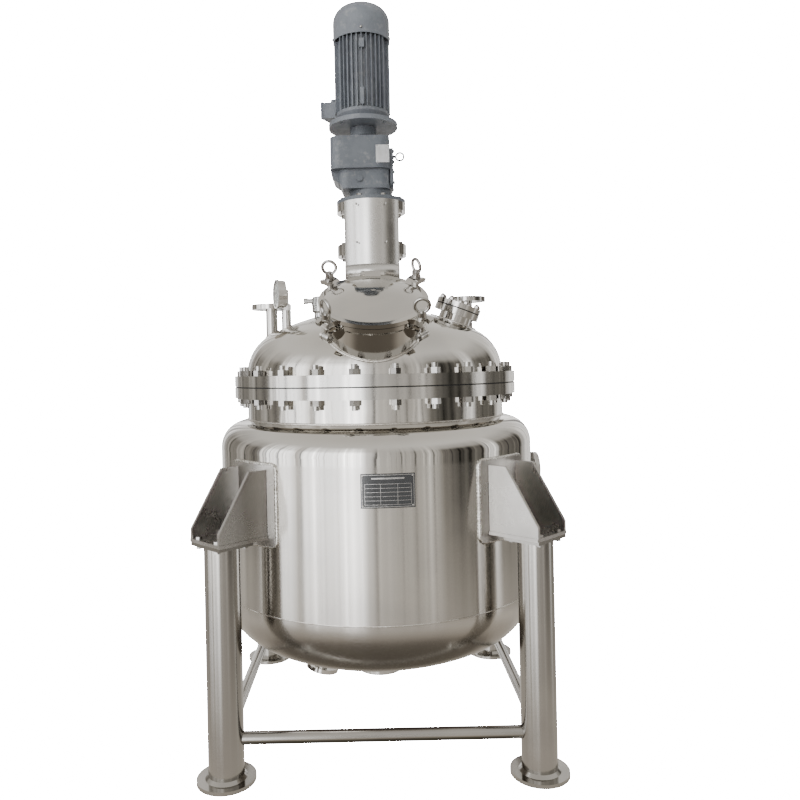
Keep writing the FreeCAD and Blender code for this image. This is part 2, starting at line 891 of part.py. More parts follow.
def make_lug(name, azimuth):
    """A base plate and two gussets on a curved backing pad, welded to the jacket."""
    inner = jacket_radius + d.seam_gap
    outer = jacket_radius + d.pad_thickness
    plate_top = d.lug_level + d.lug_plate_thickness
    gusset_top = plate_top + d.gusset_height
    pad = turned(name + "_pad", [
        (inner, d.lug_level - d.pad_drop),
        (outer, d.lug_level - d.pad_drop),
        (outer, gusset_top + d.pad_rise),
        (inner, gusset_top + d.pad_rise),
    ], d.pad_angle)
    settle(pad, spot(x=-leg_circle))
    inward = d.leg_standoff - d.pad_thickness / 2
    outward = d.cap_length / 2
    half = d.lug_plate_width / 2
    base = plate(name + "_base", [
        (-inward, -half), (outward, -half), (outward, half), (-inward, half),
    ], d.lug_plate_thickness, offset=d.lug_level)
    drill(base, name + "_base", d.lug_bolt_radius + d.bolt_gap / 2, d.lug_bolt_circle, 4, 45)
    gussets = []
    for side in (-1, 1):
        web = plate(f"{name}_gusset_{side + 1}", [
            (-inward, plate_top),
            (outward, plate_top),
            (outward, plate_top + d.gusset_edge),
            (d.gusset_top_width - d.leg_standoff, gusset_top),
            (-inward, gusset_top),
        ], d.gusset_thickness, "XZ_Plane", middle=True)
        gussets.append(put(web, y=side * d.gusset_spread))
    node(name, settle(fuse(name, pad, base, *gussets), leg_axis(azimuth)))


def make_support():
    bolt_spots = []
    for corner, azimuth in zip(CORNER_NAMES, QUADRANTS):
        make_leg("leg_" + corner, azimuth)
        make_lug("lug_" + corner, azimuth)
        for place in circle_spots(d.lug_bolt_circle, 4, 45):
            bolt_spots.append(leg_axis(azimuth).multiply(place))
    node("lug_bolts", bolts_around(
        "lug_bolts", bolt_spots, radius=d.lug_bolt_radius, flats=d.lug_bolt_flats,
        head=d.lug_bolt_head, low=d.lug_level - d.cap_thickness,
        high=d.lug_level + d.lug_plate_thickness))


def make_cross_tubes():
    """Four tubes between the legs, each end shaped to the leg it is welded to."""
    reach = leg_circle * math.sqrt(0.5)
    tubes = []
    for number in range(4):
        tube = pipe(f"cross_tube_{number}", d.cross_tube_radius,
                    d.cross_tube_radius - d.cross_tube_wall, -reach, reach)
        across = spot(axis=(0, 1, 0), angle=90)
        side = spot(z=d.cross_tube_level, angle=number * 90).multiply(spot(y=-reach))
        settle(tube, side.multiply(across))
        ends = []
        for end in (-1, 1):
            post = cylinder(f"cross_tube_{number}_post_{end + 1}",
                            d.leg_radius + d.seam_gap, d.leg_radius * 2)
            place = spot(x=end * reach, z=-d.leg_radius)
            ends.append(settle(post, side.multiply(place)))
        tubes.append(cut(f"cross_tube_{number}_fitted", tube, *ends))
    node("cross_tubes", group("cross_tubes", tubes))


# Manhole

SWING_ANGLES = {"front_left": 225, "front_right": 315, "rear_right": 45, "rear_left": 135}
RING_TURNS = {"front_left": 80, "front_right": 45, "rear_right": 75, "rear_left": 40}
pivot_height = -d.swing_pivot_drop
cover_seat = d.manhole_gasket_thickness
ear_top = pivot_height + d.ear_reach


def swing_place(azimuth):
    """The pivot of a swing bolt, with X pointing away from the manhole axis."""
    return manhole_place.multiply(spot(angle=azimuth)).multiply(
        spot(x=d.swing_circle, z=pivot_height))


def bolt_lug(name, azimuth, side):
    """One cheek of a bolt lug, with its pin hole."""
    inner = d.manhole_radius - d.manhole_wall / 2 - d.swing_circle
    nose = d.lug_nose
    cheek = plate(name, [
        (inner, -nose), (0, -nose), (nose, 0, nose), (0, nose, nose), (inner, nose),
    ], d.lug_cheek, "XZ_Plane", middle=True)
    offset = side * (d.swing_eye_width / 2 + d.seam_gap + d.lug_cheek / 2)
    hole = bore_across(name + "_pin_hole", d.pivot_pin_radius, d.ear_width)
    put(cheek, y=offset)
    return settle(cut(name + "_bored", cheek, hole), swing_place(azimuth))


def bore_across(name, radius, width):
    """A cylinder along the local Y axis."""
    drill_bit = cylinder(name, radius, width)
    return settle(drill_bit, spot(y=width / 2, axis=(1, 0, 0), angle=90))


def hinge_place():
    return manhole_place.multiply(spot(angle=90)).multiply(
        spot(x=d.hinge_circle, z=d.hinge_pin_height))


def hinge_post(name, side):
    """One of the two hinge ears at the back of the neck."""
    inner = d.manhole_radius - d.manhole_wall / 2 - d.hinge_circle
    nose = d.hinge_knuckle_radius
    foot = -d.hinge_pin_height - d.manhole_rim_height * 2
    ear = plate(name, [
        (inner, foot), (0, foot), (nose, 0), (0, nose, nose), (-nose, 0, nose),
        (-nose, -d.hinge_pin_height - d.seam_gap), (inner, -d.hinge_pin_height - d.seam_gap),
    ], d.hinge_knuckle_width / 2, "XZ_Plane", middle=True)
    hole = bore_across(name + "_pin_hole", d.hinge_pin_radius, d.hinge_width * 2)
    put(ear, y=side * (d.hinge_width / 2 - d.hinge_knuckle_width / 4))
    return settle(cut(name + "_bored", ear, hole), hinge_place())


def make_manhole_neck(dome):
    """The slanted neck, shaped to the dome, with its rim, bolt lugs and hinge ears."""
    bore = d.manhole_radius - d.manhole_wall
    rim = d.manhole_rim_height
    tube = turned("manhole_tube", [
        (bore, -d.manhole_neck_length),
        (d.manhole_radius, -d.manhole_neck_length),
        (d.manhole_radius, -rim - d.manhole_wall),
        (d.manhole_rim_radius, -rim),
        (d.manhole_rim_radius, 0),
        (bore, 0),
    ])
    settle(tube, manhole_place)
    pieces = [tube]
    for corner, azimuth in SWING_ANGLES.items():
        for side in (-1, 1):
            pieces.append(bolt_lug(f"lug_{corner}_{side + 1}", azimuth, side))
    for side in (-1, 1):
        pieces.append(hinge_post(f"hinge_post_{side + 1}", side))
    solid = fuse("manhole_neck_raw", *pieces)
    passage = settle(cylinder("manhole_passage", bore, d.manhole_neck_length),
                     manhole_place.multiply(spot(z=-d.manhole_neck_length)))
    node("manhole_neck", cut("manhole_neck", solid, dome, passage))


def ear(name, azimuth):
    """A curved, slotted ear of the cover, round about the pivot of its swing bolt."""
    outer, inner = d.ear_reach, d.ear_reach - d.ear_thickness
    low, high = d.ear_inner_angle, d.ear_outer_angle
    saddle = plate(name, [
        (-inner * sine(low), inner * cosine(low)),
        (inner * sine(high), inner * cosine(high), -inner),
        (outer * sine(high), outer * cosine(high)),
        (-outer * sine(low), outer * cosine(low), outer),
    ], d.ear_width, "XZ_Plane", middle=True)
    slot_half = d.swing_bolt_radius + d.bolt_gap
    slot = plate(name + "_slot", [
        (-slot_half * 1.4, 0), (outer, 0), (outer, outer * 1.2), (-slot_half * 1.4, outer * 1.2),
    ], slot_half * 2, "XZ_Plane", middle=True)
    return settle(cut(name + "_slotted", saddle, slot), swing_place(azimuth))


def make_manhole_cover():
    """The dished manhole cover with its edge ring, four ears and hinge knuckle."""
    radius, wall = d.manhole_cover_radius, d.manhole_cover_wall
    edge_top = cover_seat + d.manhole_cover_edge
    bulge = d.manhole_cover_bulge
    land = d.manhole_radius - d.manhole_wall
    crown = (land * land + bulge * bulge) / (2 * bulge)
    hollow = land - 2 * wall
    sink = edge_top + bulge - wall - cover_seat
    inner_crown = (hollow * hollow + sink * sink) / (2 * sink)
    dish = turned("manhole_dish", [
        (0, cover_seat + sink),
        (hollow, cover_seat, -inner_crown),
        (radius, cover_seat),
        (radius, edge_top),
        (land, edge_top),
        (0, edge_top + bulge, crown),
    ])
    settle(dish, manhole_place)
    pieces = [dish]
    for corner, azimuth in SWING_ANGLES.items():
        pieces.append(ear("ear_" + corner, azimuth))
    inner = d.manhole_cover_radius - d.manhole_wall - d.hinge_circle
    rise = d.hinge_knuckle_radius
    drop = cover_seat - d.hinge_pin_height
    tongue = plate("hinge_tongue", [
        (inner, drop), (-rise, drop), (-rise, 0), (0, -rise, rise), (rise, 0, rise),
        (0, rise, rise), (inner, rise / 2),
    ], d.hinge_width - d.hinge_knuckle_width - 2 * d.seam_gap, "XZ_Plane", middle=True)
    hole = bore_across("tongue_pin_hole", d.hinge_pin_radius, d.hinge_width * 2)
    pieces.append(settle(cut("hinge_tongue_bored", tongue, hole), hinge_place()))
    node("manhole_cover", fuse("manhole_cover", *pieces))


def make_manhole_gasket():
    bore = d.manhole_radius - d.manhole_wall
    ring = pipe("manhole_gasket", d.manhole_rim_radius - d.body_gasket_inset, bore, 0, cover_seat)
    node("manhole_gasket", settle(ring, manhole_place))


def make_pins():
    """The four pivot pins and the hinge pin."""
    pins = []
    length = d.swing_eye_width + 2 * d.lug_cheek + 8 * d.bolt_gap
    for corner, azimuth in SWING_ANGLES.items():
        pin = bore_across("pin_" + corner, d.pivot_pin_radius - d.running_gap, length)
        move(pin, swing_place(azimuth))
        pins.append(pin)
    hinge = bore_across("pin_hinge", d.hinge_pin_radius - d.running_gap,
                        d.hinge_width + 8 * d.bolt_gap)
    move(hinge, hinge_place())
    node("manhole_pins", group("manhole_pins", pins + [hinge]))


def make_swing_bolt(corner, azimuth):
    """A swing bolt: an eye round the pivot pin, a shank, and a washer under its nut."""
    place = swing_place(azimuth)
    washer_low = d.ear_reach + d.seam_gap
    nut_low = washer_low + d.swing_washer_thickness
    eye = bore_across(corner + "_bolt_eye", d.swing_eye_radius, d.swing_eye_width)
    shank = cylinder(corner + "_bolt_shank", d.swing_bolt_radius,
                     nut_low + d.eye_nut_height + d.swing_bolt_radius / 2)
    washer = put(cylinder(corner + "_bolt_washer", d.swing_washer_radius,
                          d.swing_washer_thickness), z=washer_low)
    hole = bore_across(corner + "_bolt_hole", d.pivot_pin_radius, d.ear_width)
    solid = cut(corner + "_bolt", fuse(corner + "_bolt_raw", eye, shank, washer), hole)
    node("swing_bolt_" + corner, settle(solid, place))
    boss = pipe(corner + "_nut_boss", d.eye_nut_radius, d.swing_bolt_radius + d.running_gap,
                nut_low, nut_low + d.eye_nut_height)
    ring = torus(corner + "_nut_ring", d.eye_ring_radius, d.eye_ring_wire)
    ring_height = nut_low + d.eye_nut_height + d.eye_ring_radius - d.eye_ring_wire / 2
    settle(ring, spot(z=ring_height, angle=RING_TURNS[corner]).multiply(
        spot(axis=(1, 0, 0), angle=90)))
    well = cylinder(corner + "_nut_well", d.swing_bolt_radius + d.running_gap, ring_height)
    nut = cut(corner + "_nut", fuse(corner + "_nut_raw", boss, ring), well)
    node("eye_nut_" + corner, settle(nut, place))


def make_manhole(dome):
    make_manhole_neck(dome)
    make_manhole_gasket()
    make_manhole_cover()
    make_pins()
    for corner, azimuth in SWING_ANGLES.items():
        make_swing_bolt(corner, azimuth)


# Agitator drive

nozzle_top = d.gasket_level + d.drive_nozzle_rise
lantern_floor = nozzle_top + d.drive_flange_thickness
lantern_top = lantern_floor + d.lantern_tube_length + d.lantern_top_thickness
shaft_top = lantern_top + d.reducer_flange_thickness + d.shaft_socket


def make_drive_nozzle(dome):
    """The upright neck on top of the dome with its round flange."""
    bore = d.drive_nozzle_radius - d.drive_nozzle_wall
    under = nozzle_top - d.drive_flange_thickness
    body = turned("drive_neck", [
        (bore, cover_tangent),
        (d.drive_nozzle_radius, cover_tangent),
        (d.drive_nozzle_radius, under),
        (d.drive_flange_radius, under),
        (d.drive_flange_radius, nozzle_top),
        (bore, nozzle_top),
    ])
    drill(body, "drive_neck", d.lantern_bolt_radius + d.bolt_gap / 2, d.lantern_bolt_circle, 8,
          22.5)
    node("drive_nozzle", cut("drive_nozzle", body, dome))


def make_lantern():
    """A windowed tube between two flanges, through which the coupling is reached."""
    bore = d.lantern_radius - d.lantern_wall
    top_under = lantern_top - d.lantern_top_thickness
    passage = d.shaft_radius + d.drive_nozzle_wall
    body = turned("lantern_body", [
        (passage, nozzle_top),
        (d.drive_flange_radius, nozzle_top),
        (d.drive_flange_radius, lantern_floor),
        (d.lantern_radius, lantern_floor),
        (d.lantern_radius, top_under),
        (d.drive_flange_radius, top_under),
        (d.drive_flange_radius, lantern_top),
        (bore, lantern_top),
        (bore, lantern_floor),
        (passage, lantern_floor),
    ])
    drill(body, "lantern_body", d.lantern_bolt_radius + d.bolt_gap / 2, d.lantern_bolt_circle, 8,
          22.5)
    margin = (d.lantern_tube_length - d.lantern_window_height) / 2
    half = d.lantern_window_width / 2
    window = plate("lantern_window", [
        (-half, lantern_floor + margin), (half, lantern_floor + margin),
        (half, top_under - margin), (-half, top_under - margin),
    ], d.drive_flange_radius * 2, "XZ_Plane", middle=True)
    node("lantern", cut("lantern", body, window))
    lower = [("lower", place) for place in circle_spots(d.lantern_bolt_circle, 8, 22.5)]
    pieces = []
    for number, (row, place) in enumerate(lower):
        pieces.append(settle(bolt(
            f"lantern_bolt_{row}_{number}", d.lantern_bolt_radius, d.lantern_bolt_flats,
            d.lantern_bolt_head, nozzle_top - d.drive_flange_thickness, lantern_floor), place))
        pieces.append(settle(bolt(
            f"lantern_bolt_upper_{number}", d.lantern_bolt_radius, d.lantern_bolt_flats,
            d.lantern_bolt_head, top_under, lantern_top + d.reducer_flange_thickness), place))
    node("lantern_bolts", group("lantern_bolts", pieces))


def make_guard():
    """A curved front plate wrapped on the rims of the drive flanges."""
    inner = d.drive_flange_radius + d.seam_gap
    outer = inner + d.guard_thickness
    low = nozzle_top - d.drive_flange_thickness - d.guard_drop
    guard = turned("lantern_guard", [
        (inner, low), (outer, low), (outer, lantern_top), (inner, lantern_top),
    ], d.guard_angle)
    node("lantern_guard", settle(guard, spot(angle=-90)))


def make_seal():
    """The shaft seal housing on the floor of the lantern."""
    bore = d.shaft_radius + d.running_gap
    foot = d.lantern_bolt_head
    step = (d.seal_foot_radius - d.seal_radius) / 2
    node("shaft_seal", turned("shaft_seal", [
        (bore, lantern_floor),
        (d.seal_foot_radius, lantern_floor),
        (d.seal_foot_radius, lantern_floor + foot),
        (d.seal_radius, lantern_floor + foot + step),
        (d.seal_radius, lantern_floor + d.seal_height - step),
        (d.seal_radius - step, lantern_floor + d.seal_height),
        (bore, lantern_floor + d.seal_height),
    ]))


def impeller(name, level, turn):
    """A pitched-blade turbine: a hub with four slanted blades."""
    bore = d.shaft_radius + d.running_gap
    hub = pipe(name + "_hub", d.impeller_hub_radius, bore, level, level + d.impeller_hub_height)
    well = put(cylinder(name + "_well", bore, d.impeller_hub_height), z=level)
    blades = []
    length = d.impeller_radius - d.shaft_radius
    for number in range(4):
        blade = box(f"{name}_blade_{number}", length, d.impeller_blade_thickness,
                    d.impeller_blade_height)
        arm = spot(z=level + d.impeller_hub_height / 2, angle=turn + number * 90).multiply(
            spot(x=d.shaft_radius + length / 2))
        pitch = spot(axis=(1, 0, 0), angle=45).multiply(spot(z=-d.impeller_blade_height / 2))
        blades.append(move(blade, arm.multiply(pitch)))
    return cut(name, fuse(name + "_raw", hub, *blades), well)


def make_agitator():
    bevel = d.shaft_radius / 6
    node("agitator_shaft", turned("agitator_shaft", [
        (0, d.shaft_bottom_level),
        (d.shaft_radius - bevel, d.shaft_bottom_level),
        (d.shaft_radius, d.shaft_bottom_level + bevel),
        (d.shaft_radius, shaft_top - bevel),
        (d.shaft_radius - bevel, shaft_top),
        (0, shaft_top),
    ]))
    bore = d.shaft_radius + d.running_gap
    low = lantern_floor + d.seal_height + 6 * d.bolt_gap
    high = low + d.coupling_height
    waist = d.coupling_radius * 0.7
    lip = d.coupling_height / 3
    node("shaft_coupling", turned("shaft_coupling", [
        (bore, low), (waist, low), (waist, low + lip), (d.coupling_radius, low + lip),
        (d.coupling_radius, high - lip), (waist, high - lip), (waist, high), (bore, high),
    ]))
    node("impellers", group("impellers", [
        impeller("lower_impeller", d.lower_impeller_level, 0),
        impeller("upper_impeller", d.upper_impeller_level, 45),
    ]))


# Gear reducer

hub_base = lantern_top + d.reducer_flange_thickness
lower_base = hub_base + d.reducer_hub_height
upper_base = lower_base + d.reducer_lower_height
top_base = upper_base + d.reducer_upper_height
cone_base = top_base + d.top_cover_thickness
adapter_base = cone_base + d.top_cone_height
motor_base = adapter_base + d.adapter_height


def rounded(left, right, depth, corner):
    """Corners of a rounded rectangle about the X axis."""
    return [
        (right, -depth + corner), (right, depth - corner),
        (right - corner, depth, corner), (-left + corner, depth),
        (-left, depth - corner, corner), (-left, -depth + corner),
        (-left + corner, -depth, corner), (right - corner, -depth),
    ][:8]


def rounded_plate(name, left, right, depth, corner, low, height):
    """A rounded rectangular block on X and Y."""
    first = rounded(left, right, depth, corner)
    first[0] = (right, -depth + corner, corner)
    return plate(name, first, height, offset=low)


def make_reducer():
    """The gear housing: output flange, hub, lower case and the wider overhanging upper case."""
    socket = d.shaft_radius + d.running_gap
    hub = turned("reducer_hub", [
        (socket, lantern_top),
        (d.drive_flange_radius, lantern_top),
        (d.drive_flange_radius, hub_base),
        (d.reducer_hub_radius, hub_base),
        (d.reducer_hub_radius, lower_base),
        (0, lower_base),
        (0, shaft_top + d.seam_gap),
        (socket, shaft_top + d.seam_gap),
    ])
    drill(hub, "reducer_hub", d.lantern_bolt_radius + d.bolt_gap / 2, d.lantern_bolt_circle, 8,
          22.5)
    corner = d.reducer_corner
    lower = rounded_plate("reducer_lower", d.reducer_lower_left, d.reducer_right,
                          d.reducer_lower_depth, corner, lower_base, d.reducer_lower_height)
    heel = plate("reducer_heel", [
        (-d.reducer_lower_left * 1.2, lower_base - d.reducer_heel_height),
        (-d.reducer_lower_left + d.reducer_heel_width, lower_base - d.reducer_heel_height / 8),
        (-d.reducer_lower_left - d.seam_gap, lower_base + d.reducer_heel_height),
        (-d.reducer_lower_left * 1.2, lower_base + d.reducer_heel_height),
    ], d.reducer_lower_depth * 2 + corner, "XZ_Plane", middle=True)
    lower_case = cut("reducer_lower_case", lower, heel)
    upper = rounded_plate("reducer_upper", d.reducer_upper_left, d.reducer_right,
                          d.reducer_upper_depth, corner, upper_base, d.reducer_upper_height)
    jaw_left = -d.reducer_upper_left
    jaw = plate("reducer_jaw", [
        (jaw_left, upper_base),
        (jaw_left + d.reducer_jaw_height / 4, upper_base - d.reducer_jaw_height * 0.7),
        (-d.reducer_lower_left - d.seam_gap, upper_base - d.reducer_jaw_height),
        (-d.reducer_lower_left + corner, upper_base - d.reducer_jaw_height),
        (-d.reducer_lower_left + corner, upper_base),
    ], d.reducer_jaw_depth * 2, "XZ_Plane", middle=True)
    bore = put(cylinder("reducer_socket", socket, d.shaft_socket), z=hub_base + d.seam_gap)
    shaft_well = put(cylinder("reducer_input", d.motor_shaft_radius + d.seam_gap,
                              d.reducer_upper_height / 2),
                     x=-d.motor_offset, z=top_base - d.reducer_upper_height / 2)
    solid = fuse("reducer_raw", hub, lower_case, upper, jaw)
    node("reducer_housing", cut("reducer_housing", solid, bore, shaft_well))


def make_reducer_fittings():
    """The side cover, top cover with its cone and neck, oil plug and lifting eyebolt."""
    low = lower_base + d.side_cover_margin
    high = top_base - d.side_cover_margin
    depth, corner = d.side_cover_depth, d.side_cover_margin * 2
    cover = plate("reducer_side_cover", [
        (depth, low + corner), (depth, high - corner), (depth - corner, high, corner),
        (-depth + corner, high), (-depth, high - corner, corner), (-depth, low + corner),
        (-depth + corner, low, corner), (depth - corner, low),
    ], d.side_cover_thickness, "YZ_Plane", offset=d.reducer_right)
    node("reducer_side_cover", cover)
    slab = rounded_plate("top_slab", d.reducer_upper_left, d.reducer_right,
                         d.reducer_upper_depth, d.reducer_corner, top_base,
                         d.top_cover_thickness)
    bore = d.motor_shaft_radius + d.seam_gap
    cone = turned("top_cone", [
        (bore, cone_base - d.top_cover_thickness),
        (d.top_cone_radius, cone_base - d.top_cover_thickness),
        (d.top_cone_radius, cone_base),
        (d.adapter_radius, adapter_base),
        (d.adapter_radius, motor_base),
        (bore, motor_base),
    ])
    put(cone, x=-d.motor_offset)
    well = put(cylinder("top_well", bore, motor_base - top_base),
               x=-d.motor_offset, z=top_base)
    node("reducer_top_cover", cut("reducer_top_cover", fuse("top_raw", slab, cone), well))
    plug = prism("oil_plug", d.oil_plug_radius * 1.7, d.oil_plug_height)
    washer = cylinder("oil_plug_washer", d.oil_plug_radius, d.oil_plug_height / 2)
    facing = spot(-d.oil_plug_left, -d.reducer_lower_depth, lower_base
                  + d.reducer_lower_height / 2, (1, 0, 0), 90)
    node("oil_plug", settle(fuse("oil_plug_piece", plug, washer), facing))
    ring = torus("eyebolt_ring", d.eyebolt_ring_radius, d.eyebolt_wire)
    stem = pipe("eyebolt_stem", d.eyebolt_wire * 1.3, 0,
                0, d.eyebolt_reach - d.eyebolt_ring_radius)
    collar = pipe("eyebolt_collar", d.eyebolt_wire * 2, 0, 0, d.eyebolt_wire * 1.5)
    settle(ring, spot(z=d.eyebolt_reach, angle=d.eyebolt_tilt).multiply(
        spot(axis=(1, 0, 0), angle=90)))
    place = spot(d.reducer_right + d.side_cover_thickness, 0,
                 high - corner, (0, 1, 0), 90)
    node("reducer_eyebolt", settle(fuse("reducer_eyebolt", ring, stem, collar), place))


# Motor

shield_base = motor_base + d.motor_flange_thickness
frame_base = shield_base + d.end_shield_height
cowl_base = frame_base + d.frame_height
cowl_top = cowl_base + d.cowl_skirt + d.cowl_dome


def motor_end_shield():
    """The round mounting flange and the tapered end shield with its bearing bore."""
    bore = d.motor_shaft_radius + d.running_gap
    body = turned("motor_end_shield", [
        (bore, motor_base),
        (d.motor_flange_radius, motor_base),
        (d.motor_flange_radius, shield_base),
        (d.end_shield_radius * 0.84, shield_base),
        (d.end_shield_radius, shield_base + d.end_shield_height * 0.7),
        (d.end_shield_radius, frame_base),
        (bore, frame_base),
    ])
    drill(body, "motor_end_shield", d.motor_bolt_hole, d.motor_bolt_circle, 4, 45)
    node("motor_end_shield", put(body, x=-d.motor_offset))


def fin_set(name, middle_angle):
    """Radial cooling fins over one side of the frame."""
    fins = []
    depth = d.fin_radius - d.frame_radius
    count = int(d.fin_count.value)
    for number in range(count):
        angle = middle_angle + (number - (count - 1) / 2) * d.fin_pitch.value
        fin = box(f"{name}_{number}", depth + d.fin_thickness, d.fin_thickness, d.frame_height)
        out = spot(z=frame_base, angle=angle).multiply(
            spot(x=d.frame_radius + (depth - d.fin_thickness) / 2))
        fins.append(move(fin, out))
    return fins


def motor_frame():
    """The finned frame, with smooth bands on its left and right."""
    bore = d.rotor_radius + d.rotor_gap
    core = pipe("frame_core", d.frame_radius, bore, frame_base, cowl_base)
    bands = []
    for side, angle in (("right", 0), ("left", 180)):
        band = turned(f"frame_band_{side}", [
            (d.frame_radius - d.fin_thickness, frame_base),
            (d.fin_radius, frame_base),
            (d.fin_radius, cowl_base),
            (d.frame_radius - d.fin_thickness, cowl_base),
        ], d.side_band_angle)
        bands.append(settle(band, spot(angle=angle)))
    fins = fin_set("front_fin", 270) + fin_set("rear_fin", 90)
    node("motor_frame", put(fuse("motor_frame", core, *bands, *fins), x=-d.motor_offset))


def fan_cowl():
    """The fan cowl: a skirt and a rounded top with air slots."""
    outer, wall = d.cowl_radius, d.cowl_wall
    skirt_top = cowl_base + d.cowl_skirt
    crown = d.cowl_crown_radius
    side = outer - crown
    bend = (side * side + d.cowl_dome * d.cowl_dome) / (2 * side)
    body = turned("cowl_shell", [
        (outer - wall, cowl_base),
        (outer, cowl_base),
        (outer, skirt_top),
        (crown, cowl_top, bend),
        (0, cowl_top),
        (0, cowl_top - wall),
        (crown, cowl_top - wall),
        (outer - wall, skirt_top, -(bend - wall)),
    ])
    sketch = new_sketch(body, "XY_Plane", "cowl_slot_outline", cowl_top)
    half = d.cowl_slot_width / 2
    outline(sketch, [(crown / 3, -half), (crown * 0.92, -half), (crown * 0.92, half),
                     (crown / 3, half)])
    slot = body.newObject("PartDesign::Pocket", "cowl_slot")
    slot.Profile = sketch
    slot.Type = "ThroughAll"
    slot.Midplane = True
    around(body, "cowl_slot", slot, d.cowl_slot_count)
    node("fan_cowl", put(body, x=-d.motor_offset))


def motor_inside():
    """Rotor on its shaft, with the cooling fan at the top."""
    spare = (d.frame_height - d.rotor_length) / 2
    shaft, core = d.motor_shaft_radius, d.rotor_radius
    fan_low = cowl_base + d.fan_height / 2
    top = fan_low + d.fan_height
    rotor = turned("motor_rotor", [
        (0, top_base - d.reducer_upper_height / 4),
        (shaft, top_base - d.reducer_upper_height / 4),
        (shaft, frame_base + spare),
        (core, frame_base + spare),
        (core, frame_base + spare + d.rotor_length),
        (shaft, frame_base + spare + d.rotor_length),
        (shaft, top),
        (0, top),
    ])
    node("motor_rotor", put(rotor, x=-d.motor_offset))
    bore = shaft + d.running_gap
    hub = pipe("fan_hub", d.fan_hub_radius, bore, fan_low, top)
    length = d.fan_radius - shaft
    blades = []
    for number in range(6):
        blade = box(f"fan_blade_{number}", length, d.fan_blade_thickness, d.fan_height)
        arm = spot(z=fan_low, angle=number * 60).multiply(spot(x=shaft + length / 2))
        blades.append(move(blade, arm))
    well = put(cylinder("fan_well", bore, d.fan_height), z=fan_low)
    fan = cut("cooling_fan", fuse("fan_raw", hub, *blades), well)
    node("cooling_fan", put(fan, x=-d.motor_offset))


def terminal_box():
    """The terminal box with its lid and an open cable gland."""
    inner = d.fin_radius - d.fin_thickness
    reach = d.terminal_box_reach
    half = d.terminal_box_width / 2
    lid = d.terminal_box_lid
    housing = plate("terminal_housing", [
        (d.frame_radius + d.seam_gap, -half * 0.5), (reach - lid, -half), (reach - lid, half),
        (d.frame_radius + d.seam_gap, half * 0.5),
    ], d.terminal_box_height, offset=frame_base + d.seam_gap)
    cover = plate("terminal_lid", [
        (reach - lid, -half - lid / 4), (reach, -half), (reach, half), (reach - lid, half + lid / 4),
    ], d.terminal_box_height + lid / 4, offset=frame_base + d.seam_gap)
    gland = pipe("terminal_gland", d.gland_radius, d.gland_radius * 0.6,
                 frame_base + d.terminal_box_height,
                 frame_base + d.terminal_box_height + d.gland_height)
    put(gland, x=(inner + reach) / 2)
    place = spot(x=-d.motor_offset, angle=d.terminal_box_azimuth)
    keepout = put(cylinder("terminal_clearance", d.fin_radius + d.seam_gap,
                           d.frame_height), z=frame_base)
    solid = cut("terminal_box", fuse("terminal_raw", housing, cover, gland), keepout)
    node("terminal_box", settle(solid, place))


def make_motor():
    motor_end_shield()
    motor_frame()
    fan_cowl()
    motor_inside()
    terminal_box()


# Pipe nozzles

def flanged_pipe(name, radius, flange_radius, flange_thickness, hole, circle, length, place,
                 first_angle=45):
    """A pipe that ends in a round flange, its face at the local origin, running down from it."""
    bore = radius - d.pipe_wall
    body = turned(name, [
        (bore, -length),
        (radius, -length),
        (radius, -flange_thickness),
        (flange_radius, -flange_thickness),
        (flange_radius, 0),
        (bore, 0),
    ])
    drill(body, name, hole, circle, 4, first_angle)
    return settle(body, place)


def make_nozzles(dome):
    for name, place in (("gas_nozzle", gas_place), ("vapour_nozzle", vapour_place)):
        raw = flanged_pipe(name + "_pipe", d.pipe_radius, d.pipe_flange_radius,
                           d.pipe_flange_thickness, d.pipe_bolt_hole, d.pipe_bolt_circle,
                           d.gas_nozzle_rise, place)
        node(name, cut(name, raw, dome))
    small = (d.small_pipe_radius, d.small_flange_radius, d.small_flange_thickness,
             d.small_bolt_hole, d.small_bolt_circle)
    shell = jacket_solid()
    pair = []
    for name, place in (("jacket_side_nozzle", side_place), ("jacket_drain_nozzle", drain_place)):
        raw = flanged_pipe(name + "_pipe", *small, d.small_pipe_length, place)
        pair.append(cut(name, raw, shell))
    node("jacket_nozzles", group("jacket_nozzles", pair))
    outlet_top = vessel_bottom + d.seam_gap / 2
    outlet = flanged_pipe(
        "bottom_outlet", d.outlet_radius, d.outlet_flange_radius, d.outlet_flange_thickness,
        d.outlet_bolt_hole, d.outlet_bolt_circle, outlet_top - d.outlet_level,
        spot(z=d.outlet_level, axis=(1, 0, 0), angle=180))
    node("bottom_outlet", outlet)


def jacket_solid():
    """The outside of the jacket as a full solid, which its nozzles are fitted to."""
    joint, pole = dished(jacket_radius + d.seam_gap, jacket_crown + d.seam_gap,
                         jacket_knuckle + d.seam_gap, d.jacket_tangent_level, -1)
    edge = jacket_radius + d.seam_gap
    return turned("jacket_outside", [
        (0, d.jacket_neck_level), (0, pole[1]),
        (*joint, jacket_crown + d.seam_gap),
        (edge, d.jacket_tangent_level, jacket_knuckle + d.seam_gap),
        (edge, d.jacket_neck_level),
    ])


# Pressure gauge

gauge_face = gauge_place.multiply(spot(angle=d.gauge_azimuth)).multiply(
    spot(axis=(0, 1, 0), angle=90))


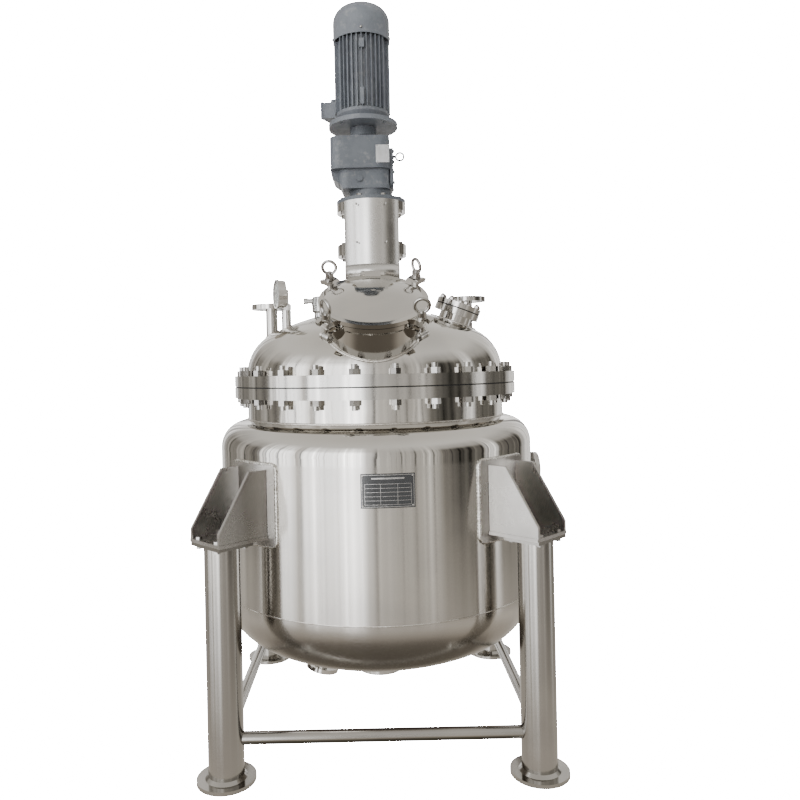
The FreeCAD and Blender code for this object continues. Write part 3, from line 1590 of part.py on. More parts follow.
def make_gauge(dome):
    """The gauge on its boss: stem, nut, round case with a recessed dial, and pointer."""
    drop = d.gauge_rise
    boss = put(cylinder("gauge_boss", d.gauge_boss_radius, d.gauge_boss_height + drop / 2),
               z=-drop / 2 - d.gauge_radius * 2)
    boss_top = d.gauge_boss_height - d.gauge_radius * 2
    stem = put(cylinder("gauge_stem", d.gauge_stem_radius, d.gauge_radius * 1.2), z=boss_top)
    nut = put(prism("gauge_nut", d.gauge_nut_flats, d.gauge_nut_flats), z=boss_top)
    block = put(box("gauge_block", d.gauge_offset, d.gauge_offset, d.gauge_radius * 1.1),
                -d.gauge_offset / 2, -d.gauge_offset / 2, -d.gauge_radius * 0.8)
    for piece in (boss, stem, nut):
        move(piece, gauge_place)
    move(block, gauge_place.multiply(spot(angle=d.gauge_azimuth)))
    dial = d.gauge_offset / 2 + d.gauge_wall * 2
    front = d.gauge_offset / 2 + d.gauge_depth
    inside = d.gauge_radius - d.gauge_wall * 2
    case = turned("gauge_cup", [
        (0, d.gauge_offset / 2),
        (d.gauge_radius - d.gauge_wall, d.gauge_offset / 2),
        (d.gauge_radius - d.gauge_wall, front - d.gauge_wall * 2),
        (d.gauge_radius, front - d.gauge_wall * 2),
        (d.gauge_radius, front),
        (inside, front),
        (inside, dial),
        (d.pointer_pin_radius, dial),
        (d.pointer_pin_radius, front - d.gauge_wall * 2),
        (0, front - d.gauge_wall * 2),
    ])
    settle(case, gauge_face)
    solid = fuse("gauge_raw", boss, stem, nut, block, case)
    node("pressure_gauge", cut("pressure_gauge", solid, dome))
    low = dial + d.gauge_wall
    hub = pipe("pointer_hub", d.pointer_hub_radius, d.pointer_pin_radius + d.running_gap,
               low, low + d.gauge_wall)
    needle = plate("pointer_needle", [
        (-d.pointer_length / 3, -d.pointer_width / 2), (d.pointer_length, -d.running_gap * 8),
        (d.pointer_length, d.running_gap * 8), (-d.pointer_length / 3, d.pointer_width / 2),
    ], d.gauge_wall / 3, offset=low)
    well = put(cylinder("pointer_well", d.pointer_pin_radius + d.running_gap, d.gauge_wall),
               z=low)
    pointer = cut("gauge_pointer", fuse("pointer_raw", hub, needle), well)
    node("gauge_pointer", settle(pointer, gauge_face.multiply(spot(angle=95))))


# Vent valve and sight glass

def make_vent(dome):
    """A stubby vent valve: flanged neck, body, bonnet and a plugged side port."""
    top = d.gasket_level + d.vent_rise
    height = d.vent_height
    radius = d.vent_radius
    body = turned("vent_body", [
        (d.vent_port_radius, top - height * 2),
        (d.vent_neck_radius, top - height * 2),
        (d.vent_neck_radius, top - height * 0.85),
        (radius, top - height * 0.75),
        (radius, top - height * 0.45),
        (radius * 1.08, top - height * 0.45),
        (radius * 1.08, top - height * 0.36),
        (radius, top - height * 0.36),
        (radius * 0.94, top - height * 0.06),
        (radius * 0.85, top),
        (0, top),
        (0, top - height / 2),
        (d.vent_port_radius, top - height / 2),
    ])
    port = pipe("vent_port", d.vent_port_radius, 0, radius - d.vent_port_radius,
                radius + d.vent_port_length / 2)
    plug = pipe("vent_plug", d.vent_port_radius * 1.25, 0, radius + d.vent_port_length / 2,
                radius + d.vent_port_length)
    for piece in (port, plug):
        settle(piece, spot(z=top - height * 0.22, angle=180).multiply(
            spot(axis=(0, 1, 0), angle=90)))
    valve = fuse("vent_raw", body, port, plug)
    put(valve, -d.vent_left, -d.vent_forward)
    node("vent_valve", cut("vent_valve", valve, dome))


def make_sight_glass(dome):
    """A glass disc clamped between a welded base flange and a cover ring."""
    bore, radius = d.sight_bore, d.sight_radius
    recess = d.sight_disc_radius + d.seam_gap
    sink = (d.sight_disc_thickness - d.sight_gasket_thickness) / 2
    base = turned("sight_base", [
        (bore, -d.sight_neck_length - d.sight_base_thickness),
        (d.sight_neck_radius, -d.sight_neck_length - d.sight_base_thickness),
        (d.sight_neck_radius, -d.sight_base_thickness),
        (radius, -d.sight_base_thickness),
        (radius, 0), (recess, 0), (recess, -sink), (bore, -sink),
    ])
    drill(base, "sight_base", d.lantern_bolt_radius, (radius + recess) / 2, 8, 22.5)
    node("sight_glass_base", cut("sight_glass_base", settle(base, sight_place), dome))
    gasket = pipe("sight_glass_gasket", radius - d.sight_gasket_inset, recess, 0,
                  d.sight_gasket_thickness)
    node("sight_glass_gasket", settle(gasket, sight_place))
    low = d.sight_gasket_thickness
    ring = turned("sight_glass_ring", [
        (recess, low), (radius, low), (radius, low + d.sight_ring_thickness),
        (bore, low + d.sight_ring_thickness), (bore, low + sink), (recess, low + sink),
    ])
    drill(ring, "sight_glass_ring", d.lantern_bolt_radius, (radius + recess) / 2, 8, 22.5)
    node("sight_glass_ring", settle(ring, sight_place))
    disc = put(cylinder("sight_disc", d.sight_disc_radius, d.sight_disc_thickness), z=-sink)
    move(disc, sight_place)
    node("sight_glass_disc", disc)


def check_and_write():
    """Stop on any failed object, then write one file for each sub-part."""
    doc.recompute()
    for item in doc.Objects:
        if "Invalid" in item.State or "Error" in item.State:
            raise RuntimeError(f"{item.Name} failed: {item.State}")
    os.makedirs("parts", exist_ok=True)
    total = 0
    for name, item in nodes.items():
        shape = item.Shape
        if shape.isNull() or not shape.isValid() or not shape.Solids:
            raise RuntimeError(f"{name} has no valid solid")
        total += len(shape.Solids)
    for name, item in nodes.items():
        item.Shape.exportStep(os.path.join("parts", name + ".step"))
    print(len(nodes), "sub-parts,", total, "solids")


make_vessel()
make_flanges()
make_studs()
make_cover()
make_jacket()
make_support()
make_cross_tubes()
cover_outside = cover_solid("cover_outside")
make_manhole(cover_outside)
make_drive_nozzle(cover_outside)
make_lantern()
make_guard()
make_seal()
make_agitator()
make_reducer()
make_reducer_fittings()
make_motor()
make_nozzles(cover_outside)
make_gauge(cover_outside)
make_vent(cover_outside)
make_sight_glass(cover_outside)
check_and_write()
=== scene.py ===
# %% [markdown]
# # A jacketed pressure reactor
# The reactor is a steel pot inside a steel heating jacket. It stands on four legs, and an
# electric motor on top turns a stirrer through a gear reducer. The main shapes come from a
# CAD model. This lesson gives them their finishes and adds the small pieces that a CAD model
# leaves out: weld beads, plates, a dial, nuts and screws.
# The first cell loads the CAD model as a fixed frame and measures it. Its nodes are never moved
# or edited: new pieces are placed on them, from their boxes or at named places.

# %% Load the frame
import math

import bmesh
import bpy
from mathutils import Matrix, Vector
from mathutils.bvhtree import BVHTree


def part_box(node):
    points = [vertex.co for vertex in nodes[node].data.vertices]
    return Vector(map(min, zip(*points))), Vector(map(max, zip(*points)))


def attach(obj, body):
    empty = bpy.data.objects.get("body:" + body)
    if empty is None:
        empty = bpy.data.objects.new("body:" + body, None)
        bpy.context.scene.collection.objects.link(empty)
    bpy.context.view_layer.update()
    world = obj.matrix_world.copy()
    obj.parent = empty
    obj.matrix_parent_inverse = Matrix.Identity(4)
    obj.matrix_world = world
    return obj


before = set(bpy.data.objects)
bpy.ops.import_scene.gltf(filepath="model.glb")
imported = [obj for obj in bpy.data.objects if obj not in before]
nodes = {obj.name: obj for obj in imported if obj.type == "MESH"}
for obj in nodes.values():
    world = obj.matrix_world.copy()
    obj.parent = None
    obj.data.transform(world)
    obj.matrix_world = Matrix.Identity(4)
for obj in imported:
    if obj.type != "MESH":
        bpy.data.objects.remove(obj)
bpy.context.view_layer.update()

scene = bpy.context.scene

# %% [markdown]
# ## Camera
# A person stood in front of the vessel and held the camera level, a little above the body
# flange. The camera could be aimed upwards to bring in the tall drive, but then the vessel's
# sides would lean together. So it stays level here and its lens is shifted, which keeps the
# sides upright. The photographer also tipped the camera by about one degree, and it gets the
# same roll.

# %% Camera
# The lens and the centre of view were fitted in pixels of a square picture.
FRAME_PIXELS = 800
FOCAL_PIXELS = 734.0
CENTRE_X, CENTRE_Y = 374.5, 368.2
CAMERA_DISTANCE = 2.67
CAMERA_HEIGHT = 1.223
CAMERA_AZIMUTH = math.radians(-0.2)
CAMERA_YAW = math.radians(-0.2)
CAMERA_ROLL = math.radians(-1.2)

camera_data = bpy.data.cameras.new("camera")
camera_data.sensor_width = 36.0
camera_data.lens = FOCAL_PIXELS / FRAME_PIXELS * camera_data.sensor_width
camera_data.shift_x = 0.5 - CENTRE_X / FRAME_PIXELS
camera_data.shift_y = CENTRE_Y / FRAME_PIXELS - 0.5
camera_data.clip_end = 60.0
camera = bpy.data.objects.new("camera", camera_data)
camera_place = Vector((CAMERA_DISTANCE * math.sin(CAMERA_AZIMUTH),
                       -CAMERA_DISTANCE * math.cos(CAMERA_AZIMUTH), CAMERA_HEIGHT))
camera.matrix_world = (
    Matrix.Translation(camera_place)
    @ Matrix.Rotation(CAMERA_YAW, 4, "Z")
    @ Matrix.Rotation(math.radians(90), 4, "X")
    @ Matrix.Rotation(CAMERA_ROLL, 4, "Z")
)
scene.collection.objects.link(camera)
scene.camera = camera
print("lens in millimetres:", round(camera_data.lens, 2))

# %% [markdown]
# ## Studio
# Polished steel has hardly any colour of its own: it shows the room. So the room matters as
# much as the steel. A real workshop could be modelled round the vessel, with windows, walls and
# posts, but only its soft reflections would ever show. A sky is enough: a ring of soft upright
# bands, bright and dark, above a warm grey ground. Every shader tree below is built with the
# small helpers of the next two cells.

# %% Helpers for shader trees
def set_values(node, values):
    """Set sockets and settings by name; a socket's name may have _ for a space."""
    for key, value in values.items():
        label = key.replace("_", " ")
        if label in node.inputs:
            node.inputs[label].default_value = value
        else:
            setattr(node, key, value)


def add_node(tree, kind, **values):
    """A new shader node with its values."""
    made = tree.nodes.new(kind)
    set_values(made, values)
    return made


def feed(tree, value, socket):
    """Link one socket to another, or set it to a plain value."""
    if isinstance(value, bpy.types.NodeSocket):
        tree.links.new(value, socket)
    else:
        socket.default_value = value


def maths(tree, operation, *values):
    """A Math node fed with sockets or numbers."""
    made = add_node(tree, "ShaderNodeMath", operation=operation)
    for value, socket in zip(values, made.inputs):
        feed(tree, value, socket)
    return made.outputs[0]


print("shader helpers ready")

# %% Helpers for colours
MIX_FACTOR, MIX_FIRST, MIX_SECOND, MIX_RESULT = 0, 6, 7, 2


def mix_colours(tree, factor, first, second, blend_type="MIX"):
    """A Mix node set to colours; its colour sockets have fixed places in the node."""
    made = add_node(tree, "ShaderNodeMix", data_type="RGBA", blend_type=blend_type)
    feed(tree, factor, made.inputs[MIX_FACTOR])
    feed(tree, first, made.inputs[MIX_FIRST])
    feed(tree, second, made.inputs[MIX_SECOND])
    return made.outputs[MIX_RESULT]


def ramp(tree, factor, stops):
    """A Color Ramp with soft steps between (position, grey or colour) stops."""
    made = tree.nodes.new("ShaderNodeValToRGB")
    made.color_ramp.interpolation = "EASE"
    elements = made.color_ramp.elements
    while len(elements) < len(stops):
        elements.new(0.5)
    for element, (position, tone) in zip(elements, stops):
        element.position = position
        colour = tone if isinstance(tone, tuple) else (tone, tone, tone)
        element.color = (*colour, 1.0)
    tree.links.new(factor, made.inputs["Fac"])
    return made.outputs["Color"]


print("colour helpers ready")

# %% Tones of the bands
# Each stop is an angle round the vessel from the camera's side, to the right, and a tone.
BANDS = (
    (-180, 0.37), (-152, 0.35), (-141, 0.10), (-124, 0.08), (-112, 0.15), (-104, 0.08),
    (-94, 0.07), (-87, 0.38), (-80, 0.78), (-64, 0.88), (-57, 0.24), (-50, 0.98),
    (-41, 1.08), (-36, 0.86), (-28, 0.92), (-21, 1.50), (-13, 1.25), (-6, 0.34),
    (2, 0.22), (24, 0.17), (32, 0.17), (37, 0.22), (42, 0.18), (47, 0.06),
    (62, 0.02), (80, 0.05), (86, 0.34), (93, 0.36), (98, 0.05), (126, 0.04),
    (140, 0.30), (180, 0.37),
)


def tinted(tone):
    """A dark wall is warm and a bright window is a little cool."""
    warmth = max(0.0, 0.5 - tone)
    return (tone * (0.97 + 0.10 * warmth), tone * (0.975 - 0.06 * warmth),
            tone * (0.99 - 0.34 * warmth))


print("bands:", len(BANDS), "brightest tone:", max(tone for angle, tone in BANDS))

# %% Bands round the sky
world = bpy.data.worlds.new("workshop")
world.use_nodes = True
scene.world = world
sky = world.node_tree
sky.nodes.clear()
split = add_node(sky, "ShaderNodeSeparateXYZ")
sky.links.new(add_node(sky, "ShaderNodeTexCoord").outputs["Generated"], split.inputs[0])
turn = maths(sky, "ARCTAN2", split.outputs["X"], maths(sky, "MULTIPLY", split.outputs["Y"], -1.0))
around = maths(sky, "MULTIPLY_ADD", turn, 0.5 / math.pi, 0.5)
bands = ramp(sky, around, [((angle + 180) / 360, tinted(tone)) for angle, tone in BANDS])
print("a full turn round the sky runs from 0 to 1")

# %% Posts between the bands
# A room has window bars, posts and shelves. One noise, read only round the vessel, makes them.
posts = add_node(sky, "ShaderNodeTexNoise", noise_dimensions="1D", Scale=12.0, Detail=4.0,
                 Roughness=0.75)
sky.links.new(turn, posts.inputs["W"])
bars = ramp(sky, posts.outputs["Fac"], [(0.38, 0.25), (0.46, 0.95), (0.56, 1.0), (0.64, 1.6)])
crossed = mix_colours(sky, 1.0, bands, bars, "MULTIPLY")
print("posts laid over the bands")

# %% Ground and ceiling
# The height runs from 0 straight down to 1 straight up, and 0.5 is the horizon.
height = maths(sky, "MULTIPLY_ADD", split.outputs["Z"], 0.5, 0.5)
CEILING = (0.200, 0.192, 0.178)
GROUND = (0.190, 0.176, 0.156)
level = ramp(sky, height, [
    (0.0, (0.028, 0.024, 0.019)), (0.10, (0.036, 0.031, 0.025)), (0.18, (0.11, 0.098, 0.083)),
    (0.28, (0.17, 0.156, 0.137)), (0.42, GROUND), (0.5, (0.22, 0.21, 0.195)),
    (0.62, CEILING), (0.80, (0.235, 0.228, 0.215)), (1.0, CEILING),
])
band_share = ramp(sky, height, [
    (0.0, 0.0), (0.27, 0.0), (0.35, 0.50), (0.42, 1.0), (0.61, 1.0), (0.70, 0.35),
    (0.82, 0.0), (1.0, 0.0),
])
room = mix_colours(sky, band_share, level, crossed)
print("the bands fade out below and above the horizon")

# %% Paper behind the vessel
# The steel mirrors the room, but the camera itself sees plain white behind the vessel.
SKY_STRENGTH, PAPER_STRENGTH = 4.2, 40.0
room_light = add_node(sky, "ShaderNodeBackground", Strength=SKY_STRENGTH)
sky.links.new(room, room_light.inputs["Color"])
paper_white = add_node(sky, "ShaderNodeBackground", Color=(1.0, 1.0, 1.0, 1.0),
                       Strength=PAPER_STRENGTH)
choose = add_node(sky, "ShaderNodeMixShader")
sky.links.new(add_node(sky, "ShaderNodeLightPath").outputs["Is Camera Ray"], choose.inputs[0])
sky.links.new(room_light.outputs[0], choose.inputs[1])
sky.links.new(paper_white.outputs[0], choose.inputs[2])
sky.links.new(choose.outputs[0], add_node(sky, "ShaderNodeOutputWorld").inputs["Surface"])
print("sky nodes:", len(sky.nodes))

# %% [markdown]
# ## Floor and lamps
# The vessel stands on pale ground that runs out to white all round. The floor could be lit until
# it burns out, but then it would also light the vessel from below. So it is a plain pale
# sheet with a glow that only the camera sees. Three soft lamps light the paint and the plates,
# and the steel doesn't mirror them, because the bands of the sky do that part.

# %% Floor
FLOOR_REACH = 14.0


def link_mesh(name, bm):
    """Turn a finished bmesh into an object at the origin."""
    mesh = bpy.data.meshes.new(name)
    bm.to_mesh(mesh)
    bm.free()
    made = bpy.data.objects.new(name, mesh)
    scene.collection.objects.link(made)
    return made


bm = bmesh.new()
bmesh.ops.create_grid(bm, x_segments=8, y_segments=8, size=FLOOR_REACH)
floor = link_mesh("floor", bm)
floor.visible_glossy = False
print("floor", 2 * FLOOR_REACH, "m wide")

# %% Floor finish
FLOOR_GLOW = 39.0
floor_finish = bpy.data.materials.new("pale_floor")
floor_finish.use_nodes = True
tree = floor_finish.node_tree
tree.nodes.clear()
paper = add_node(tree, "ShaderNodeBsdfDiffuse", Color=(0.86, 0.86, 0.86, 1.0))
glow = add_node(tree, "ShaderNodeEmission", Color=(1.0, 1.0, 1.0, 1.0), Strength=FLOOR_GLOW)
both = add_node(tree, "ShaderNodeAddShader")
tree.links.new(paper.outputs[0], both.inputs[0])
tree.links.new(glow.outputs[0], both.inputs[1])
choose = add_node(tree, "ShaderNodeMixShader")
tree.links.new(add_node(tree, "ShaderNodeLightPath").outputs["Is Camera Ray"], choose.inputs[0])
tree.links.new(paper.outputs[0], choose.inputs[1])
tree.links.new(both.outputs[0], choose.inputs[2])
tree.links.new(choose.outputs[0], add_node(tree, "ShaderNodeOutputMaterial").inputs[0])
floor.data.materials.append(floor_finish)
print("floor finish nodes:", len(tree.nodes))

# %% Lamps
def add_lamp(name, place, aim, size, power):
    """A soft square lamp that the steel doesn't mirror."""
    lamp_data = bpy.data.lights.new(name, "AREA")
    lamp_data.shape = "RECTANGLE"
    lamp_data.size, lamp_data.size_y = size
    lamp_data.energy = power
    lamp = bpy.data.objects.new(name, lamp_data)
    scene.collection.objects.link(lamp)
    lamp.location = place
    lamp.rotation_euler = (Vector(aim) - Vector(place)).to_track_quat("-Z", "Y").to_euler()
    lamp.visible_glossy = False


add_lamp("top_lamp", (0.0, -0.4, 5.0), (0.0, 0.0, 1.0), (4.0, 4.0), 120.0)
add_lamp("left_lamp", (-3.2, -2.6, 2.6), (0.0, 0.0, 1.2), (2.0, 3.0), 90.0)
add_lamp("right_lamp", (3.4, -1.6, 2.0), (0.0, 0.0, 1.3), (1.5, 3.0), 30.0)

# %% [markdown]
# ## Shared effects
# Real metal and paint are never even. The same noise could be set up again in every material,
# but then each change has to be made many times. Four effects are used again and again here, so
# each one is a node group with named inputs: a slow drift between two tones, a haze that makes
# a polish duller in places, fine lines left by a grinding belt, and the skin of sprayed paint.

# %% Helpers for effect groups
SOCKET_KINDS = {"vector": "NodeSocketVector", "value": "NodeSocketFloat",
                "colour": "NodeSocketColor"}


def new_group(name, inputs, outputs):
    """An empty node group with named sockets, and its tree's two ends."""
    made = bpy.data.node_groups.new(name, "ShaderNodeTree")
    for side, sockets in (("INPUT", inputs), ("OUTPUT", outputs)):
        for label, kind in sockets:
            made.interface.new_socket(label, in_out=side, socket_type=SOCKET_KINDS[kind])
    return made, made.nodes.new("NodeGroupInput"), made.nodes.new("NodeGroupOutput")


def group_noise(group, start, **values):
    """A noise inside a group that reads the group's Place and Scale."""
    noise = add_node(group, "ShaderNodeTexNoise", **values)
    group.links.new(start.outputs["Place"], noise.inputs["Vector"])
    group.links.new(start.outputs["Scale"], noise.inputs["Scale"])
    return noise.outputs["Fac"]


print("kinds of socket:", len(SOCKET_KINDS))

# %% Effect: tone drift
tone_drift, start, end = new_group(
    "tone_drift",
    [("Place", "vector"), ("Scale", "value"), ("First", "colour"), ("Second", "colour")],
    [("Colour", "colour")])
patches = group_noise(tone_drift, start, Detail=3.0, Roughness=0.6)
drifted = mix_colours(tone_drift, ramp(tone_drift, patches, [(0.38, 0.0), (0.64, 1.0)]),
                      start.outputs["First"], start.outputs["Second"])
tone_drift.links.new(drifted, end.inputs["Colour"])
print("effect:", tone_drift.name)

# %% Effect: polish haze
polish_haze, start, end = new_group(
    "polish_haze",
    [("Place", "vector"), ("Scale", "value"), ("Clear", "value"), ("Dull", "value")],
    [("Roughness", "value")])
spread = add_node(polish_haze, "ShaderNodeMapRange", From_Min=0.3, From_Max=0.72)
polish_haze.links.new(group_noise(polish_haze, start, Detail=5.0, Roughness=0.62),
                      spread.inputs["Value"])
polish_haze.links.new(start.outputs["Clear"], spread.inputs["To Min"])
polish_haze.links.new(start.outputs["Dull"], spread.inputs["To Max"])
polish_haze.links.new(spread.outputs["Result"], end.inputs["Roughness"])
print("effect:", polish_haze.name)

# %% Effect: belt lines
# The noise is stretched into lines that lie level: few waves along them and many across.
belt_lines, start, end = new_group(
    "belt_lines", [("Place", "vector"), ("Along", "value"), ("Across", "value")],
    [("Height", "value")])
stretch = add_node(belt_lines, "ShaderNodeCombineXYZ")
for label, axis in (("Along", "X"), ("Along", "Y"), ("Across", "Z")):
    belt_lines.links.new(start.outputs[label], stretch.inputs[axis])
scaled = add_node(belt_lines, "ShaderNodeVectorMath", operation="MULTIPLY")
belt_lines.links.new(start.outputs["Place"], scaled.inputs[0])
belt_lines.links.new(stretch.outputs[0], scaled.inputs[1])
noise = add_node(belt_lines, "ShaderNodeTexNoise", Scale=1.0, Detail=2.0)
belt_lines.links.new(scaled.outputs[0], noise.inputs["Vector"])
belt_lines.links.new(noise.outputs["Fac"], end.inputs["Height"])
print("effect:", belt_lines.name)

# %% Effect: sprayed skin
spray_skin, start, end = new_group(
    "spray_skin", [("Place", "vector"), ("Scale", "value")],
    [("Height", "value"), ("Dust", "value")])
spray_skin.links.new(group_noise(spray_skin, start, Detail=2.0, Roughness=0.5),
                     end.inputs["Height"])
specks = add_node(spray_skin, "ShaderNodeTexNoise", Scale=38.0, Detail=6.0, Roughness=0.7)
spray_skin.links.new(start.outputs["Place"], specks.inputs["Vector"])
spray_skin.links.new(ramp(spray_skin, specks.outputs["Fac"], [(0.52, 0.0), (0.70, 1.0)]),
                     end.inputs["Dust"])
print("effect groups:", [g.name for g in bpy.data.node_groups])

# %% [markdown]
# ## Finishes
# Every finish starts the same way: a Principled shader, and Object coordinates, which stay with
# the steel when a part moves. `new_finish` does that. The next helpers let the groups above
# drive its colour, its roughness and, through a Bump node, the fine shape of its skin.

# %% Start of a finish
def new_finish(name, **values):
    """A material with one Principled shader; values set its own sockets."""
    made = bpy.data.materials.new(name)
    made.use_nodes = True
    add_node(made.node_tree, "ShaderNodeTexCoord", name="place")
    set_values(shader_of(made), values)
    return made


def shader_of(finish):
    """The finish's Principled shader."""
    return finish.node_tree.nodes["Principled BSDF"]


def place_of(finish):
    """The place of each point on its object."""
    return finish.node_tree.nodes["place"].outputs["Object"]


def drive(finish, socket, label):
    """Link a socket to the shader's socket of that name."""
    finish.node_tree.links.new(socket, shader_of(finish).inputs[label])


def use_group(finish, group, **values):
    """Put a shared effect into a finish with its own values."""
    made = add_node(finish.node_tree, "ShaderNodeGroup", node_tree=group, **values)
    finish.node_tree.links.new(place_of(finish), made.inputs["Place"])
    return made


print("every finish reads Object coordinates")

# %% Colour, polish and bump
def drift_colour(finish, scale, first, second):
    """Let the colour drift between two tones."""
    tone = use_group(finish, tone_drift, Scale=scale, First=(*first, 1.0), Second=(*second, 1.0))
    drive(finish, tone.outputs["Colour"], "Base Color")


def haze_polish(finish, scale, clear, dull):
    """Let the roughness change from clear to dull in patches."""
    haze = use_group(finish, polish_haze, Scale=scale, Clear=clear, Dull=dull)
    drive(finish, haze.outputs["Roughness"], "Roughness")
    return haze.outputs["Roughness"]


def add_bump(finish, height, distance, strength=1.0):
    """Feed a height through a Bump node; a second call stacks on the first."""
    links = finish.node_tree.links
    bump = add_node(finish.node_tree, "ShaderNodeBump", Strength=strength, Distance=distance)
    links.new(height, bump.inputs["Height"])
    before = shader_of(finish).inputs["Normal"].links
    if before:
        links.new(before[0].from_socket, bump.inputs["Normal"])
    drive(finish, bump.outputs["Normal"], "Normal")


def belt_grain(finish, along, across, depth):
    """Fine lines, as a grinding belt leaves them."""
    grain = use_group(finish, belt_lines, Along=along, Across=across)
    add_bump(finish, grain.outputs["Height"], depth)


print("a bump stacks on the one before it")

# %% [markdown]
# ## Steel
# Nearly everything on the vessel is one stainless steel, but each piece was worked in its own
# way: polished to a mirror, ground with a belt, rolled, turned or cut. One material for all
# would look like plastic. So one recipe, `steel`, takes two close greys, how clear and how dull
# the polish is, and how close the belt lines lie, and each piece's finish has its own values.

# %% Recipe for bare steel
def steel(name, first, second, polish, lines, depth, haze_scale):
    """Two close greys, a polish (clear, dull) and belt lines (along, across)."""
    made = new_finish(name, Metallic=1.0)
    drift_colour(made, 3.5, first, second)
    haze_polish(made, haze_scale, *polish)
    belt_grain(made, *lines, depth)
    return made


WARM, GREY = (0.63, 0.61, 0.575), (0.57, 0.555, 0.53)
print("steel greys:", WARM, GREY)

# %% Mirror steel
# The cover and the manhole are polished thin sheet, so their mirror image wavers a little.
mirror_steel = steel("mirror_steel", WARM, GREY, (0.05, 0.13), (6, 500), 2e-5, 7.0)
waves = add_node(mirror_steel.node_tree, "ShaderNodeTexNoise", Scale=9.0, Detail=1.0)
mirror_steel.node_tree.links.new(place_of(mirror_steel), waves.inputs["Vector"])
add_bump(mirror_steel, waves.outputs["Fac"], 0.004, 0.35)
print("finish:", mirror_steel.name)

# %% Jacket steel
# The belt ran round the jacket, so its reflections are drawn out along one direction. Above
# SATIN_TOP the jacket is polished further: from POLISH_FOOT up it has POLISH_SHARE of the
# roughness that it has lower down.
SATIN_TOP, POLISH_FOOT, POLISH_SHARE = 0.929, 0.949, 0.30
jacket_steel = steel("jacket_steel", WARM, GREY, (0.12, 0.19), (4, 620), 2e-5, 4.0)
set_values(shader_of(jacket_steel), {"Anisotropic": 0.95, "Anisotropic_Rotation": 0.25})
tree = jacket_steel.node_tree
round_axis = add_node(tree, "ShaderNodeTangent", direction_type="RADIAL", axis="Z")
drive(jacket_steel, round_axis.outputs[0], "Tangent")
split = add_node(tree, "ShaderNodeSeparateXYZ")
tree.links.new(place_of(jacket_steel), split.inputs[0])
belt_edge = add_node(tree, "ShaderNodeMapRange", interpolation_type="SMOOTHSTEP",
                     From_Min=SATIN_TOP, From_Max=POLISH_FOOT, To_Min=1.0, To_Max=POLISH_SHARE)
tree.links.new(split.outputs["Z"], belt_edge.inputs["Value"])
satin = shader_of(jacket_steel).inputs["Roughness"].links[0].from_socket
drive(jacket_steel, maths(tree, "MULTIPLY", satin, belt_edge.outputs["Result"]), "Roughness")
print("finish:", jacket_steel.name, "satin up to", SATIN_TOP)

# %% Other steels
flange_steel = steel("flange_steel", (0.60, 0.585, 0.56), (0.52, 0.51, 0.49), (0.06, 0.13),
                     (5, 900), 4e-5, 16.0)
rolled_steel = steel("rolled_steel", (0.70, 0.69, 0.67), (0.64, 0.63, 0.61), (0.22, 0.32),
                     (4, 500), 2e-5, 6.0)
plate_steel = steel("plate_steel", (0.55, 0.535, 0.51), (0.48, 0.47, 0.45), (0.24, 0.36),
                    (12, 700), 2e-5, 9.0)
leg_steel = steel("leg_steel", (0.42, 0.405, 0.38), (0.36, 0.348, 0.33), (0.11, 0.19),
                  (8, 700), 3e-5, 6.0)
shaft_steel = steel("shaft_steel", (0.55, 0.55, 0.54), (0.5, 0.5, 0.49), (0.22, 0.32),
                    (20, 900), 4e-5, 12.0)
bolt_steel = steel("bolt_steel", (0.50, 0.49, 0.47), (0.36, 0.35, 0.34), (0.14, 0.30),
                   (120, 900), 3e-5, 40.0)
case_steel = steel("case_steel", (0.62, 0.61, 0.59), (0.55, 0.54, 0.53), (0.12, 0.22),
                   (30, 900), 2e-5, 20.0)
print("steel finishes:", [m.name for m in bpy.data.materials if m.name.endswith("_steel")])

# %% Weld finishes
# A weld left as it was laid shows ripples. One that was ground afterwards is bright and uneven.
weld_steel = new_finish("weld_steel", Metallic=1.0, Roughness=0.34)
drift_colour(weld_steel, 26.0, (0.74, 0.725, 0.69), (0.58, 0.55, 0.50))
ripples = add_node(weld_steel.node_tree, "ShaderNodeTexVoronoi", Scale=220.0)
weld_steel.node_tree.links.new(place_of(weld_steel), ripples.inputs["Vector"])
add_bump(weld_steel, ripples.outputs["Distance"], 0.0006, 0.6)

ground_weld = new_finish("ground_weld", Metallic=1.0)
drift_colour(ground_weld, 40.0, (0.86, 0.85, 0.82), (0.60, 0.58, 0.54))
add_bump(ground_weld, haze_polish(ground_weld, 110.0, 0.10, 0.42), 0.003, 0.9)
print("weld finishes:", weld_steel.name, ground_weld.name)

# %% [markdown]
# ## Paint, plates, rubber and glass
# The motor and the reducer are castings under two greys of machine paint. A flat colour would
# do from far away, but paint on a casting has a fine orange-peel skin, fades in patches and
# holds dust. The plates are etched sheet, the gaskets are matt rubber, and the dial is enamel.

# %% Machine paint
def enamel(name, colour, faded, clear, dull):
    """Machine paint over a casting: faint drift, sprayed skin and a little dust."""
    made = new_finish(name, Specular_IOR_Level=0.45)
    tree = made.node_tree
    tone = use_group(made, tone_drift, Scale=11.0, First=(*colour, 1.0), Second=(*faded, 1.0))
    skin = use_group(made, spray_skin, Scale=260.0)
    dust = maths(tree, "MULTIPLY", skin.outputs["Dust"], 0.22)
    dusty = mix_colours(tree, dust, tone.outputs["Colour"], (0.33, 0.33, 0.32, 1.0))
    drive(made, dusty, "Base Color")
    haze_polish(made, 20.0, clear, dull)
    add_bump(made, skin.outputs["Height"], 0.0005, 0.35)
    return made


reducer_paint = enamel("reducer_paint", (0.074, 0.083, 0.096), (0.090, 0.100, 0.114), 0.34, 0.5)
motor_paint = enamel("motor_paint", (0.098, 0.108, 0.124), (0.118, 0.130, 0.147), 0.38, 0.55)
print("paints:", reducer_paint.name, motor_paint.name)

